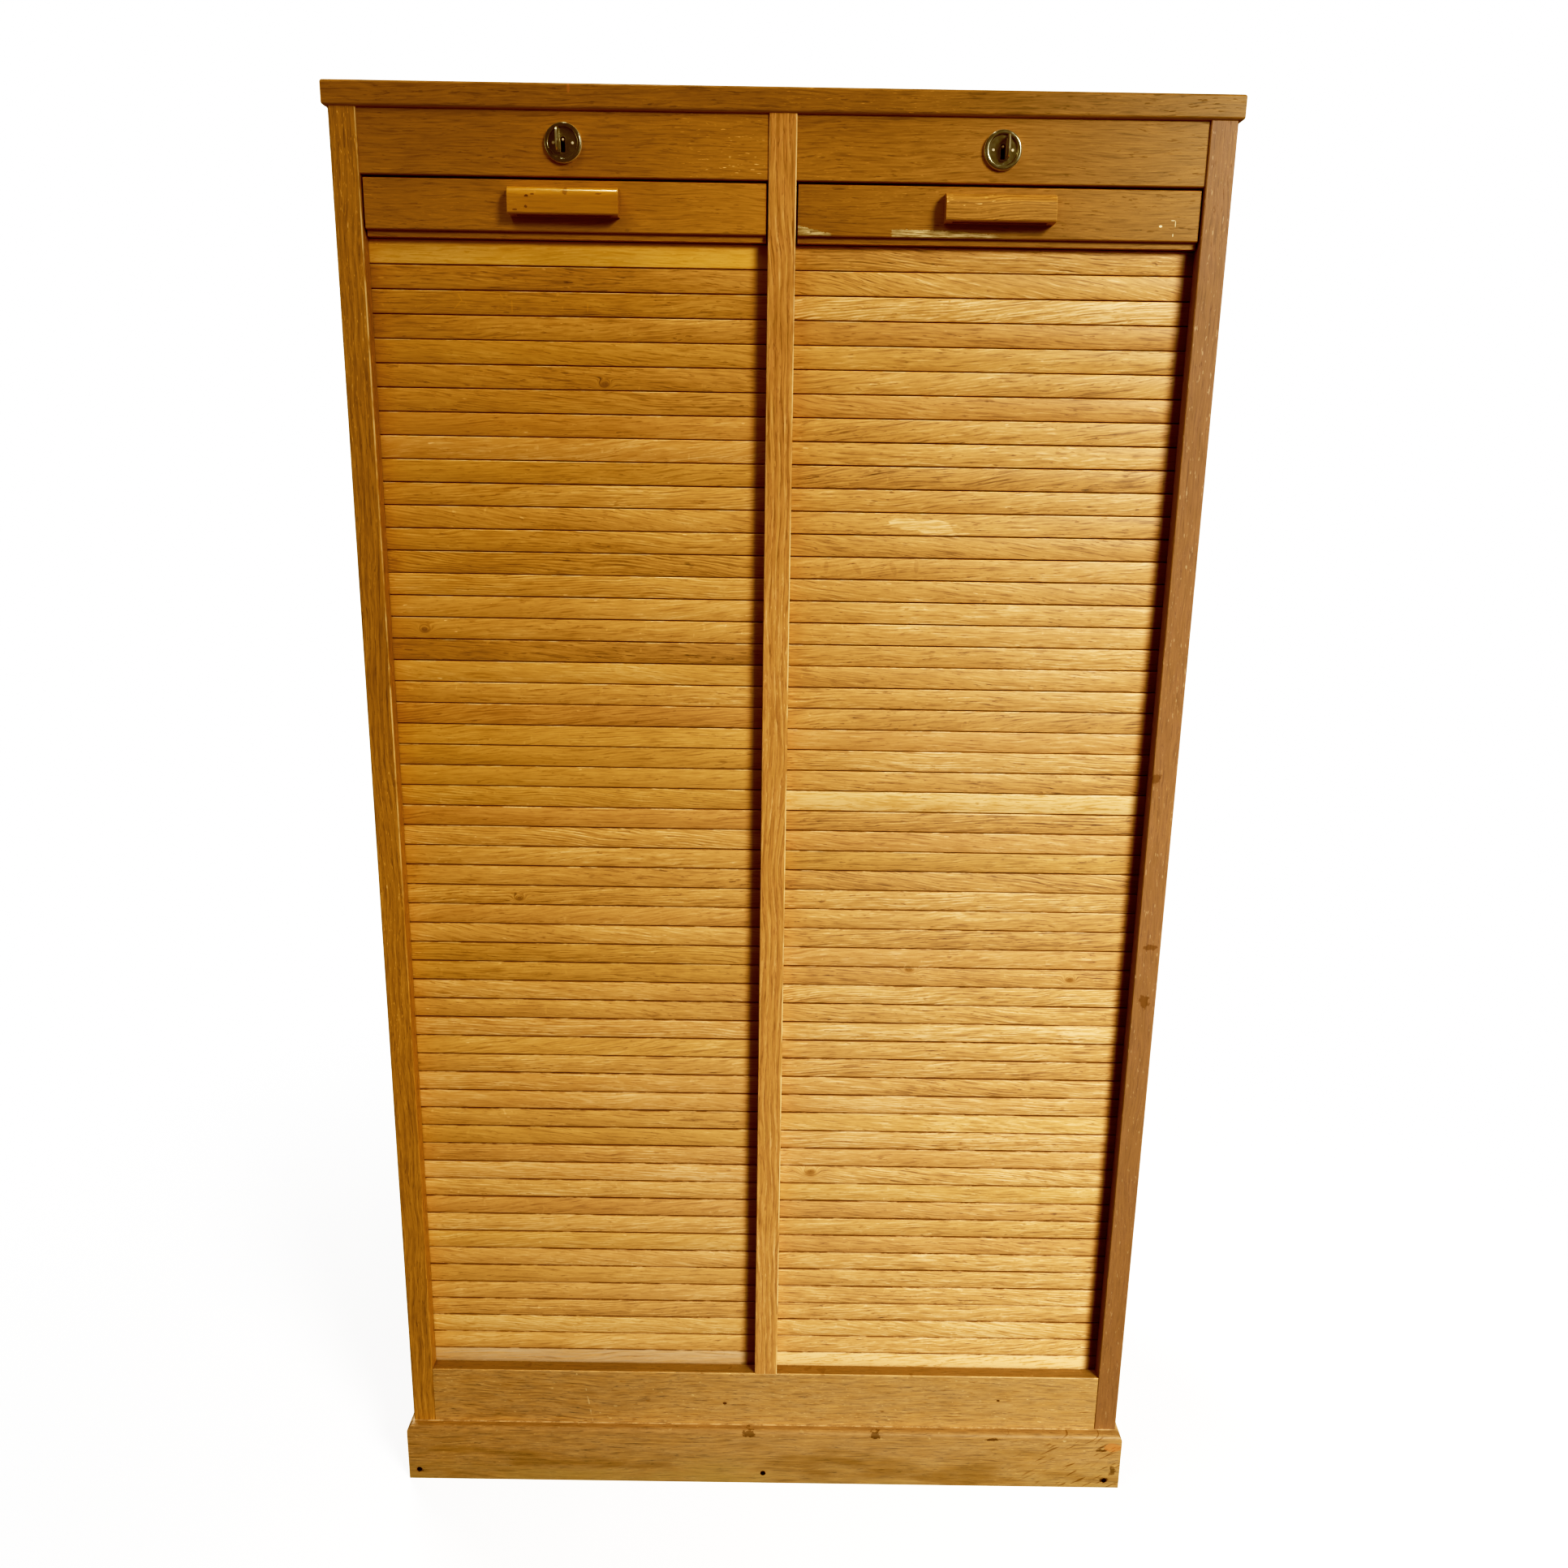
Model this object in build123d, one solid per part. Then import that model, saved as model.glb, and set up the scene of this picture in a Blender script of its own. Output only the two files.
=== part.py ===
"""Oak filing cabinet with two columns, each closed by a tambour that is pulled down to open.

Millimetres, +Z up, the front faces -Y. The sizes below are measured from the front plane of the posts, from
the middle of the width and from the floor. The finished pieces move back or forth in Y alone, so that the
origin lies under the middle of the whole cabinet.
"""
import math
import os

from build123d import *

# Overall sizes
cabinet_height = 1703.5
carcass_width = 940
carcass_depth = 420

# Top board
top_thickness = 24.5
top_front_overhang = 2.5
top_side_overhang = 5.5
top_edge_radius = 3

# Posts
outer_post_width = 28.5
centre_post_width = 29.5
front_post_depth = 50
rear_post_depth = 50
post_edge_radius = 1.5

# Framed sides: rails between the posts, panels in grooves of both
side_rail_thickness = 22
side_top_rail_height = 80
side_middle_rail_height = 80
side_bottom_rail_height = 120
side_middle_rail_share = 0.5
side_panel_thickness = 8
side_panel_tongue = 8
side_panel_gap = 0.3

# Plinth and bottom rail
plinth_height = 80
plinth_thickness = 28
plinth_front_step = 15
plinth_side_step = 6
plinth_edge_radius = 7
bottom_rail_height = 79
bottom_rail_thickness = 17
bottom_rail_edge_radius = 1.5

# Fascia boards under the top board
fascia_recess = 2.5
fascia_thickness = 18
fascia_height = 63.5
fascia_edge_radius = 1.5

# Tambours: slats on canvas, in a track that runs down the front, along the base and up the back
slat_recess = 19
slat_thickness = 8
slat_pitch = 25.05
slat_gap = 0.4
slat_bevel = 1.5
groups_per_tambour = 8
canvas_thickness = 0.6
canvas_margin = 6
track_depth = 8
track_gap = 0.5
track_end_gap = 0.8
track_bend_radius = 42
track_above_plinth = 12

# Lead rails, the stiff top members of the tambours
lead_rail_recess = 4.5
lead_rail_thickness = 28
lead_rail_face_height = 50.5
lead_rail_lip_height = 6.5
lead_rail_lip_recess = 10
lead_rail_side_gap = 2
lead_rail_top_gap = 2.5
lead_rail_edge_radius = 1.5

# Handles and their screws
handle_length = 115
handle_height = 28
handle_depth = 19
handle_drop = 8.5
handle_round_radius = 11
handle_edge_radius = 2
finger_groove_width = 9
finger_groove_depth = 9
finger_groove_front_wall = 6
finger_groove_end_wall = 8
handle_screw_spacing = 70
handle_screw_diameter = 4
handle_screw_head_diameter = 8
handle_screw_head_height = 3
handle_screw_bite = 12
handle_screw_drop = 9
screw_gap = 0.15

# Locks
lock_drop = 31.5
rosette_diameter = 39
rosette_thickness = 2.5
rosette_rim_width = 5
rosette_rim_rise = 2.5
rosette_rim_radius = 1.8
rivet_diameter = 2.6
rivet_rise = 0.6
rivet_spacing = 20
keyhole_rise = 3.4
keyhole_diameter = 5.2
keyhole_slot_width = 4.8
keyhole_slot_reach = 12.5
key_room_margin = 1
lock_pin_diameter = 2.4
lock_pin_setback = 0.4
lock_case_width = 60
lock_case_height_above = 20
lock_case_height_below = 27
lock_case_thickness = 14
lock_case_wall = 2.5
bolt_length = 44
bolt_height = 8
bolt_thickness = 4
bolt_rise = 3.5
bolt_gap = 0.3
staple_side_gap = 1.5
staple_thickness = 3
staple_wall = 2
staple_hole_gap = 1.5
staple_foot_length = 24
staple_foot_thickness = 2
staple_fascia_gap = 1

# Keyhole covers: flaps on upright pins beside the keyholes, which stand open
flap_offset = 4.5
flap_height_above = 13.5
flap_height_below = 9
flap_reach = 14.5
flap_thickness = 1.8
flap_corner_radius = 8
flap_barrel_diameter = 2.8
flap_pin_diameter = 1.4
flap_lug_length = 2.7
flap_gap = 0.3
flap_pin_gap = 0.15

# Inside of the columns
floor_board_thickness = 18
inner_back_thickness = 6
back_panel_thickness = 8
rear_run_room = 16
shelf_thickness = 16
shelves_per_column = 6
shelf_front_gap = 4
shelf_side_gap = 0.5
cleat_height = 18
cleat_thickness = 12

overrun = 5

# Heights
top_underside = cabinet_height - top_thickness
fascia_bottom = top_underside - fascia_height
lead_rail_top = fascia_bottom - lead_rail_top_gap
lead_rail_face_bottom = lead_rail_top - lead_rail_face_height
lead_rail_bottom = lead_rail_face_bottom - lead_rail_lip_height
handle_top = lead_rail_top - handle_drop
handle_bottom = handle_top - handle_height
handle_screw_height = handle_top - handle_screw_drop
bottom_rail_top = plinth_height + bottom_rail_height
lock_height = top_underside - lock_drop
keyhole_height = lock_height + keyhole_rise
lock_case_top = lock_height + lock_case_height_above
lock_case_bottom = lock_height - lock_case_height_below
bolt_bottom = lock_case_bottom + bolt_rise
floor_bottom = bottom_rail_top - floor_board_thickness
track_height = plinth_height + track_above_plinth
slats_per_tambour = math.ceil((lead_rail_bottom - bottom_rail_top) / slat_pitch)

# Places across the width
carcass_half = carcass_width / 2
post_inner_face = carcass_half - outer_post_width
centre_half = centre_post_width / 2
opening_width = post_inner_face - centre_half
column_middle = (post_inner_face + centre_half) / 2
plinth_half = carcass_half + plinth_side_step
side_plinth_inner = plinth_half - plinth_thickness
side_panel_outer = post_inner_face + (side_rail_thickness + side_panel_thickness) / 2

# Places along the depth
slat_back = slat_recess + slat_thickness
front_track_middle = slat_recess + slat_thickness / 2
back_panel_front = carcass_depth - back_panel_thickness
rear_track_middle = back_panel_front - rear_run_room / 2
inner_back_rear = back_panel_front - rear_run_room
inner_back_front = inner_back_rear - inner_back_thickness
rear_post_front = carcass_depth - rear_post_depth
lead_rail_back = lead_rail_recess + lead_rail_thickness
handle_front = lead_rail_recess - handle_depth
shelf_front = lead_rail_back + shelf_front_gap
fascia_back = fascia_recess + fascia_thickness
lock_case_back = fascia_back + lock_case_thickness
rosette_face = fascia_recess - rosette_thickness
staple_front = fascia_back + staple_fascia_gap
bolt_front = staple_front + staple_wall + staple_hole_gap
flap_axis = rosette_face - flap_gap - flap_barrel_diameter / 2
front_plinth_back = plinth_thickness - plinth_front_step
foremost = min(-plinth_front_step, handle_front, flap_axis - flap_reach)
middle_of_depth = (foremost + carcass_depth) / 2


def block(x, y, z):
    """A box between two places on each axis, given as pairs."""
    middle = [sum(pair) / 2 for pair in (x, y, z)]
    sizes = [abs(pair[1] - pair[0]) for pair in (x, y, z)]
    return Pos(*middle) * Box(*sizes)


def rod(x, z, y, diameter):
    """A round bar along Y, between a pair of places."""
    return Pos(x, sum(y) / 2, z) * Rot(90, 0, 0) * Cylinder(diameter / 2, abs(y[1] - y[0]))


def pillar(x, y, z, diameter):
    """A round bar along Z, between a pair of heights."""
    return Pos(x, y, sum(z) / 2) * Cylinder(diameter / 2, abs(z[1] - z[0]))


def span(a, b):
    """Two places in rising order, so that the left and right columns can share one description."""
    return (min(a, b), max(a, b))


def front_edges(piece, axis):
    """The edges along an axis that lie furthest forward."""
    return piece.edges().filter_by(axis).group_by(Axis.Y)[0]


def save(name, *pieces):
    """Write one node, as one solid or as a group of separate ones."""
    to_origin = Pos(0, -middle_of_depth, 0)
    solids = [to_origin * solid for piece in pieces for solid in piece.solids()]
    shape = solids[0] if len(solids) == 1 else Compound(children=solids)
    export_step(shape, f"parts/{name}.step")


def track_loop(x, half_width):
    """The space inside the track's line, widened on each side, open upwards past the top of the posts."""
    y = (front_track_middle - half_width, rear_track_middle + half_width)
    z = (track_height - half_width, top_underside + overrun)
    loop = block(x, y, z)
    low_edges = loop.edges().filter_by(Axis.X).group_by(Axis.Z)[0]
    return fillet(low_edges, track_bend_radius + half_width)


def track_groove(face, into):
    """The groove that a tambour runs in, cut from a side face towards +X or -X."""
    half_width = slat_thickness / 2 + track_gap
    x = span(face + into * track_depth, face - into * overrun)
    return track_loop(x, half_width) - track_loop(x, -half_width)


def side_panel_spaces():
    """Heights between the rails of a framed side, from the lowest space up."""
    middle = plinth_height + (top_underside - plinth_height) * side_middle_rail_share
    low = (plinth_height + side_bottom_rail_height, middle - side_middle_rail_height / 2)
    high = (middle + side_middle_rail_height / 2, top_underside - side_top_rail_height)
    return [low, high]


def side_panel(side, space, gap):
    """A panel of a framed side with its tongues. A gap makes it the room that its grooves leave."""
    outer = side * (side_panel_outer + gap)
    inner = side * (side_panel_outer - side_panel_thickness - gap)
    tongue = side_panel_tongue + gap
    y = (front_post_depth - tongue, rear_post_front + tongue)
    return block(span(outer, inner), y, (space[0] - tongue, space[1] + tongue))


def make_top_board():
    half = carcass_half + top_side_overhang
    board = block((-half, half), (-top_front_overhang, carcass_depth), (top_underside, cabinet_height))
    long_edges = board.edges().filter_by(Axis.X).group_by(Axis.Y)[0]
    end_edges = board.edges().filter_by(Axis.Y)
    save("top_board", fillet(long_edges + end_edges, top_edge_radius))


def make_side(name, side):
    """Posts, rails and panels of one framed side."""
    spaces = side_panel_spaces()
    groove = track_groove(side * post_inner_face, side)
    rooms = [side_panel(side, space, side_panel_gap) for space in spaces]
    x = span(side * carcass_half, side * post_inner_face)
    z = (plinth_height, top_underside)

    front_post = block(x, (0, front_post_depth), z)
    front_post = fillet(front_edges(front_post, Axis.Z), post_edge_radius)
    save(f"{name}_front_post", front_post - groove - rooms)
    rear_post = block(x, (rear_post_front, carcass_depth), z)
    save(f"{name}_rear_post", rear_post - groove - rooms)

    rail_x = span(side * post_inner_face, side * (post_inner_face + side_rail_thickness))
    rail_y = (front_post_depth, rear_post_front)
    low, high = spaces
    rail_spans = [(plinth_height, low[0]), (low[1], high[0]), (high[1], top_underside)]
    rails = [block(rail_x, rail_y, rail_z) - groove - rooms for rail_z in rail_spans]
    save(f"{name}_side_rails", *rails)
    save(f"{name}_side_panels", *[side_panel(side, space, 0) for space in spaces])


def make_centre():
    """The centre post, halved over the bottom rail, and the partition behind it."""
    x = (-centre_half, centre_half)
    z = (plinth_height, top_underside)
    grooves = [track_groove(-centre_half, 1), track_groove(centre_half, -1)]
    post = block(x, (0, front_post_depth), z)
    post = fillet(front_edges(post, Axis.Z), post_edge_radius)
    rail_seat = block(x, (-overrun, bottom_rail_thickness), (plinth_height - overrun, bottom_rail_top))
    save("centre_front_post", post - rail_seat - grooves)
    save("centre_partition", block(x, (front_post_depth, back_panel_front), z) - grooves)


def make_base():
    """Bottom rail and the four boards of the plinth."""
    rail = block(
        (-post_inner_face, post_inner_face),
        (0, bottom_rail_thickness),
        (plinth_height, bottom_rail_top),
    )
    top_front_edge = front_edges(rail, Axis.X).sort_by(Axis.Z)[-1]
    save("bottom_rail", fillet(top_front_edge, bottom_rail_edge_radius))

    height = (0, plinth_height)
    front = block((-plinth_half, plinth_half), (-plinth_front_step, front_plinth_back), height)
    upper_edges = front_edges(front, Axis.X).sort_by(Axis.Z)[-1:]
    upper_edges += front.edges().filter_by(Axis.Y).group_by(Axis.Z)[-1]
    save("front_plinth", fillet(upper_edges, plinth_edge_radius))
    for name, side in (("left", -1), ("right", 1)):
        x = span(side * side_plinth_inner, side * plinth_half)
        board = block(x, (front_plinth_back, carcass_depth), height)
        outer_edge = board.edges().filter_by(Axis.Y).group_by(Axis.Z)[-1].sort_by(Axis.X)
        outer_edge = outer_edge[-1] if side > 0 else outer_edge[0]
        save(f"{name}_plinth", fillet(outer_edge, plinth_edge_radius))
    rear = block(
        (-side_plinth_inner, side_plinth_inner),
        (carcass_depth - plinth_thickness, carcass_depth),
        height,
    )
    save("rear_plinth", rear)


def make_back():
    panel = block(
        (-post_inner_face, post_inner_face),
        (back_panel_front, carcass_depth),
        (plinth_height, top_underside),
    )
    save("back_panel", panel)


def shelf_tops():
    """Heights of the shelves' upper faces, evenly spaced between the floor board and the top board."""
    room = (top_underside - bottom_rail_top) / (shelves_per_column + 1)
    return [bottom_rail_top + room * (i + 1) for i in range(shelves_per_column)]


def column_cleats(side):
    """The cleats that carry one column's shelves, a pair under each."""
    cleats = []
    for top in shelf_tops():
        z = (top - shelf_thickness - cleat_height, top - shelf_thickness)
        for face, inwards in ((side * post_inner_face, -side), (side * centre_half, side)):
            x = span(face, face + inwards * cleat_thickness)
            cleats.append(block(x, (shelf_front, inner_back_front), z))
    return cleats


def make_column_inside(name, side):
    """Floor board, inner back and shelves of one column."""
    x = span(side * centre_half, side * post_inner_face)
    y = (shelf_front, inner_back_front)
    save(f"{name}_floor_board", block(x, y, (floor_bottom, bottom_rail_top)))
    inner_back_y = (inner_back_front, inner_back_rear)
    save(f"{name}_inner_back", block(x, inner_back_y, (floor_bottom, top_underside)))
    shelf_x = (x[0] + shelf_side_gap, x[1] - shelf_side_gap)
    shelves = [block(shelf_x, y, (top - shelf_thickness, top)) for top in shelf_tops()]
    save(f"{name}_shelves", *shelves)


def key_room(side, y):
    """The round space in which a key's bit turns, between a pair of places."""
    return rod(side * column_middle, keyhole_height, y, 2 * (keyhole_slot_reach + key_room_margin))


def make_fascia(name, side):
    board = block(
        span(side * centre_half, side * post_inner_face),
        (fascia_recess, fascia_back),
        (fascia_bottom, top_underside),
    )
    low_edge = front_edges(board, Axis.X).sort_by(Axis.Z)[0]
    board = fillet(low_edge, fascia_edge_radius)
    save(f"{name}_fascia", board - key_room(side, (fascia_recess - overrun, fascia_back + overrun)))


def make_rosette(name, side):
    """The round plate of a lock, with its rim, rivets, keyhole and the lugs of the keyhole's cover."""
    x = side * column_middle
    rosette = rod(x, lock_height, (rosette_face, fascia_recess), rosette_diameter)
    rim_y = (rosette_face - rosette_rim_rise, rosette_face)
    rim = rod(x, lock_height, rim_y, rosette_diameter)
    rim -= rod(x, lock_height, rim_y, rosette_diameter - 2 * rosette_rim_width)
    rosette = rosette + rim
    rosette = fillet(rosette.edges().group_by(Axis.Y)[0], rosette_rim_radius)
    for step in (-rivet_spacing / 2, rivet_spacing / 2):
        rosette += rod(x + step, lock_height, (rosette_face - rivet_rise, fascia_recess), rivet_diameter)

    through = (rosette_face - overrun, fascia_recess + overrun)
    rosette -= rod(x, keyhole_height, through, keyhole_diameter)
    rosette -= block(
        (x - keyhole_slot_width / 2, x + keyhole_slot_width / 2),
        through,
        (keyhole_height - keyhole_slot_reach, keyhole_height),
    )

    hinge_x = x + side * flap_offset
    barrel_half = flap_barrel_diameter / 2
    for z in flap_lug_heights():
        rosette += block((hinge_x - barrel_half, hinge_x + barrel_half), (flap_axis, fascia_recess), z)
        rosette += pillar(hinge_x, flap_axis, z, flap_barrel_diameter)
    pin_room = flap_pin_diameter + 2 * flap_pin_gap
    save(f"{name}_lock_rosette", rosette - pillar(hinge_x, flap_axis, flap_heights(), pin_room))


def flap_heights():
    return (lock_height - flap_height_below, lock_height + flap_height_above)


def flap_lug_heights():
    low, high = flap_heights()
    return [(low, low + flap_lug_length), (high - flap_lug_length, high)]


def make_flap(name, side):
    """A keyhole's cover, standing open, with its barrel and the pin that turns in the lugs."""
    hinge_x = side * (column_middle + flap_offset)
    low, high = flap_heights()
    plate_x = (hinge_x - flap_thickness / 2, hinge_x + flap_thickness / 2)
    plate = block(plate_x, (flap_axis - flap_reach, flap_axis), (low, high))
    plate = fillet(front_edges(plate, Axis.X), flap_corner_radius)
    room = flap_barrel_diameter / 2 + flap_gap
    for z in flap_lug_heights():
        lug_y = (flap_axis - room, flap_axis + room)
        plate -= block((hinge_x - room, hinge_x + room), lug_y, (z[0] - flap_gap, z[1] + flap_gap))
    barrel_end = flap_lug_length + flap_gap
    plate += pillar(hinge_x, flap_axis, (low + barrel_end, high - barrel_end), flap_barrel_diameter)
    plate += pillar(hinge_x, flap_axis, (low, high), flap_pin_diameter)
    save(f"{name}_lock_flap", plate)


def make_lock(name, side):
    """Case with its pin, and bolt, of one lock, and the staple on the lead rail."""
    x = side * column_middle
    room_back = lock_case_back - lock_case_wall
    case = block(
        (x - lock_case_width / 2, x + lock_case_width / 2),
        (fascia_back, lock_case_back),
        (lock_case_bottom, lock_case_top),
    )
    case_end = x + lock_case_width / 2
    bolt_x = (case_end - bolt_length, case_end)
    bolt_y = (bolt_front, bolt_front + bolt_thickness)
    bolt_z = (bolt_bottom, bolt_bottom + bolt_height)
    channel = block(
        (bolt_x[0] - bolt_gap, case_end + overrun),
        (bolt_y[0] - bolt_gap, bolt_y[1] + bolt_gap),
        (bolt_z[0] - bolt_gap, bolt_z[1] + bolt_gap),
    )
    case -= key_room(side, (fascia_back - overrun, room_back))
    case += rod(x, keyhole_height, (rosette_face + lock_pin_setback, lock_case_back), lock_pin_diameter)
    save(f"{name}_lock_case", case - channel)
    save(f"{name}_lock_bolt", block(bolt_x, bolt_y, bolt_z))

    staple_x = case_end + staple_side_gap
    hole_y = (bolt_y[0] - staple_hole_gap, bolt_y[1] + staple_hole_gap)
    hole_z = (bolt_z[0] - staple_hole_gap, bolt_z[1] + staple_hole_gap)
    staple_y = (staple_front, hole_y[1] + staple_wall)
    staple = block(
        (staple_x, staple_x + staple_thickness),
        staple_y,
        (lead_rail_top, hole_z[1] + staple_wall),
    )
    staple -= block((staple_x - overrun, staple_x + overrun), hole_y, hole_z)
    staple += block(
        (staple_x, staple_x + staple_foot_length),
        staple_y,
        (lead_rail_top, lead_rail_top + staple_foot_thickness),
    )
    save(f"{name}_staple", staple)


def handle_screw_places(side):
    half = handle_screw_spacing / 2
    return [side * column_middle - half, side * column_middle + half]


def handle_screw(x, gap):
    """A screw from the back of the lead rail into the handle. A gap makes it the room for the screw."""
    tip = lead_rail_recess - handle_screw_bite - gap
    head_y = (lead_rail_back - handle_screw_head_height - gap, lead_rail_back)
    shank = rod(x, handle_screw_height, (tip, lead_rail_back), handle_screw_diameter + 2 * gap)
    return shank + rod(x, handle_screw_height, head_y, handle_screw_head_diameter + 2 * gap)


def make_lead_rail(name, side):
    """A lead rail with its tongues in the track, its handle and the handle's screws."""
    middle = side * column_middle
    body_half = opening_width / 2 - lead_rail_side_gap
    tongue_half = opening_width / 2 + track_depth - track_end_gap
    body_x = (middle - body_half, middle + body_half)
    face = block(body_x, (lead_rail_recess, lead_rail_back), (lead_rail_face_bottom, lead_rail_top))
    face = fillet(front_edges(face, Axis.X), lead_rail_edge_radius)
    lip = block(body_x, (lead_rail_lip_recess, lead_rail_back), (lead_rail_bottom, lead_rail_face_bottom))
    tongue = block(
        (middle - tongue_half, middle + tongue_half),
        (slat_recess, slat_back),
        (lead_rail_bottom, lead_rail_top),
    )
    screw_places = handle_screw_places(side)
    screw_rooms = [handle_screw(x, screw_gap) for x in screw_places]
    save(f"{name}_lead_rail", face + lip + tongue - screw_rooms)

    half = handle_length / 2
    handle = block(
        (middle - half, middle + half),
        (handle_front, lead_rail_recess),
        (handle_bottom, handle_top),
    )
    top_front_edge = front_edges(handle, Axis.X).sort_by(Axis.Z)[-1]
    handle = fillet(top_front_edge, handle_round_radius)
    low_front_edge = front_edges(handle, Axis.X).sort_by(Axis.Z)[0]
    handle = fillet(low_front_edge, handle_edge_radius)
    groove_front = handle_front + finger_groove_front_wall
    groove_half = half - finger_groove_end_wall
    handle -= block(
        (middle - groove_half, middle + groove_half),
        (groove_front, groove_front + finger_groove_width),
        (handle_bottom - overrun, handle_bottom + finger_groove_depth),
    )
    save(f"{name}_handle", handle - screw_rooms)
    save(f"{name}_handle_screws", *[handle_screw(x, 0) for x in screw_places])


def make_slats(name, side):
    """One tambour's slats, in groups from the top down, each on its strip of canvas."""
    middle = side * column_middle
    half = opening_width / 2 + track_depth - track_end_gap
    slat = block((middle - half, middle + half), (slat_recess, slat_back), (slat_gap - slat_pitch, 0))
    slat = chamfer(front_edges(slat, Axis.X), slat_bevel)
    canvas_half = opening_width / 2 - canvas_margin
    canvas_x = (middle - canvas_half, middle + canvas_half)
    canvas_y = (slat_back, slat_back + canvas_thickness)
    tambour_top = lead_rail_bottom - slat_gap
    for group in range(groups_per_tambour):
        first = group * slats_per_tambour // groups_per_tambour
        after = (group + 1) * slats_per_tambour // groups_per_tambour
        slats = [Pos(0, 0, tambour_top - i * slat_pitch) * slat for i in range(first, after)]
        canvas_z = (tambour_top - after * slat_pitch + slat_gap, tambour_top - first * slat_pitch)
        save(f"{name}_slats_{group + 1}", *slats, block(canvas_x, canvas_y, canvas_z))


os.makedirs("parts", exist_ok=True)
make_top_board()
make_centre()
make_base()
make_back()
for column, direction in (("left", -1), ("right", 1)):
    make_side(column, direction)
    make_column_inside(column, direction)
    make_fascia(column, direction)
    make_rosette(column, direction)
    make_flap(column, direction)
    make_lock(column, direction)
    make_lead_rail(column, direction)
    make_slats(column, direction)
save("shelf_cleats", *column_cleats(-1), *column_cleats(1))
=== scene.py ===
"""Looks of the oak filing cabinet with two tambours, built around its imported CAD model."""
import math
import random

import bpy
from mathutils import Matrix, Vector


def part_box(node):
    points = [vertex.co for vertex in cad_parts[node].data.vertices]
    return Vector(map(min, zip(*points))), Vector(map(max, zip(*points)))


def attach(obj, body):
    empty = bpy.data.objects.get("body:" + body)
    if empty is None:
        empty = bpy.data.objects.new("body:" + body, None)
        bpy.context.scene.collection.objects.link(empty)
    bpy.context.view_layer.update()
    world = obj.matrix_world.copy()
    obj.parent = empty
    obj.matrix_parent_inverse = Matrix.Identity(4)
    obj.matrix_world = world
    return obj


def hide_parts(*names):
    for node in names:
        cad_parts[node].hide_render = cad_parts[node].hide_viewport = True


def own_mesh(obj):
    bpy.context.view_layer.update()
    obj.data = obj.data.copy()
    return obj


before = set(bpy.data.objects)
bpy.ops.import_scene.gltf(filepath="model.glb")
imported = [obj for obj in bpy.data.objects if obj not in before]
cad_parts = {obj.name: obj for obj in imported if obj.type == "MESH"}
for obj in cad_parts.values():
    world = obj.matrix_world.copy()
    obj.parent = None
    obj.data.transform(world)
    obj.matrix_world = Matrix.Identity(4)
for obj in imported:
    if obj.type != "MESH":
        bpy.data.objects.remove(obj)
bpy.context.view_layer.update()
scene = bpy.context.scene

# Camera, fitted to the photograph
PHOTO_PIXELS = 1932
FOCAL_PIXELS = 1550
SENSOR_WIDTH = 36.0
CAMERA_PLACE = Vector((0.008, -1.6280, 1.3257))
CAMERA_YAW = math.radians(0.147)
CAMERA_PITCH = math.radians(14.157)
CAMERA_ROLL = math.radians(-0.923)

# Contrast curve from light to brightness, as a camera has it
CONTRAST_POWER = 2.0
CONTRAST_MIDDLE = 0.5
CONTRAST_STEPS = (0.01, 0.02, 0.04, 0.07, 0.1, 0.15, 0.2, 0.3, 0.4, 0.5, 0.6, 0.7, 0.8, 0.9)
# Light of each colour below which hardly any brightness is left, and the share of it that is
CONTRAST_TOES = (0.0, 0.022, 0.06)
CONTRAST_FLOOR = 0.06
# How far each colour is lifted in deep shadow, most at a dim light
SHADOW_LIFTS = (0.037, 0.021, 0.016)
SHADOW_LIGHT = 0.05

# Tambours
SLATS = 56
SLAT_GAP = 0.0004
CANVAS_THICKNESS = 0.0006
CANVAS_MARGIN = 0.0132
SLAT_STEPS = 36
# How far the slats have crept towards the middle of the curtain
SLAT_CREEP = 0.003
# Section of a slat's upper edge as (depth, drop, how far it lies on the bevel)
SLAT_BEVEL = ((0.0022, 0.0, 1.0), (0.0009, 0.0002, 1.0), (0.0003, 0.0007, 0.7), (0.0, 0.0016, 0.0))
# Size of the lower edge's section against it
LOWER_BEVEL_SHARE = 0.7
# What each slat tells its material
SLAT_FIELDS = ("seed", "tone", "slope", "figure", "edge")
# How much the slats differ from each other
TONE_SPREAD = 0.42
TONE_LIMIT = 0.9
GRAIN_SLOPE = 0.06
GRAIN_FIGURES = (0.02, 0.05, 0.10, 0.18, 0.28)
SLAT_TILT = 0.010
SLAT_DEPTH_SPREAD = 0.0006
SLAT_SHRINKAGE = 0.0005
SLAT_WAVES = 4
SLAT_SWAY = 0.00006
SLAT_RISE_SHARE = 0.6
# Groups of slats in the CAD model
GROUPS = 8

# Edges that are flatter than this look smooth
SMOOTH_ANGLE = math.radians(50)

# Nail heads: sections as (share of the radius, height), the height of the middle, and the places of the nails
NAIL_SIDES = 14
NAIL_RINGS = ((1.0, -0.0004), (1.0, 0.00012), (0.8, 0.00028), (0.4, 0.00038))
NAIL_HEIGHT = 0.0004
PLINTH_NAIL_RADIUS = 0.0034
PLINTH_NAILS = ((-0.4624, 0.0142), (-0.0018, 0.0155), (0.4564, 0.0115))
BACK_NAIL_RADIUS = 0.003
BACK_NAIL_INSET = 0.012
BACK_NAIL_SPACING = 0.13

# Floor, the distances between which it fades away, its own glow, and the even light of the surroundings
FLOOR_HALF = 2.0
FLOOR_FADE = (0.6, 1.7)
FLOOR_GLOW = 0.76
SURROUND_LIGHT = 0.12

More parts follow.
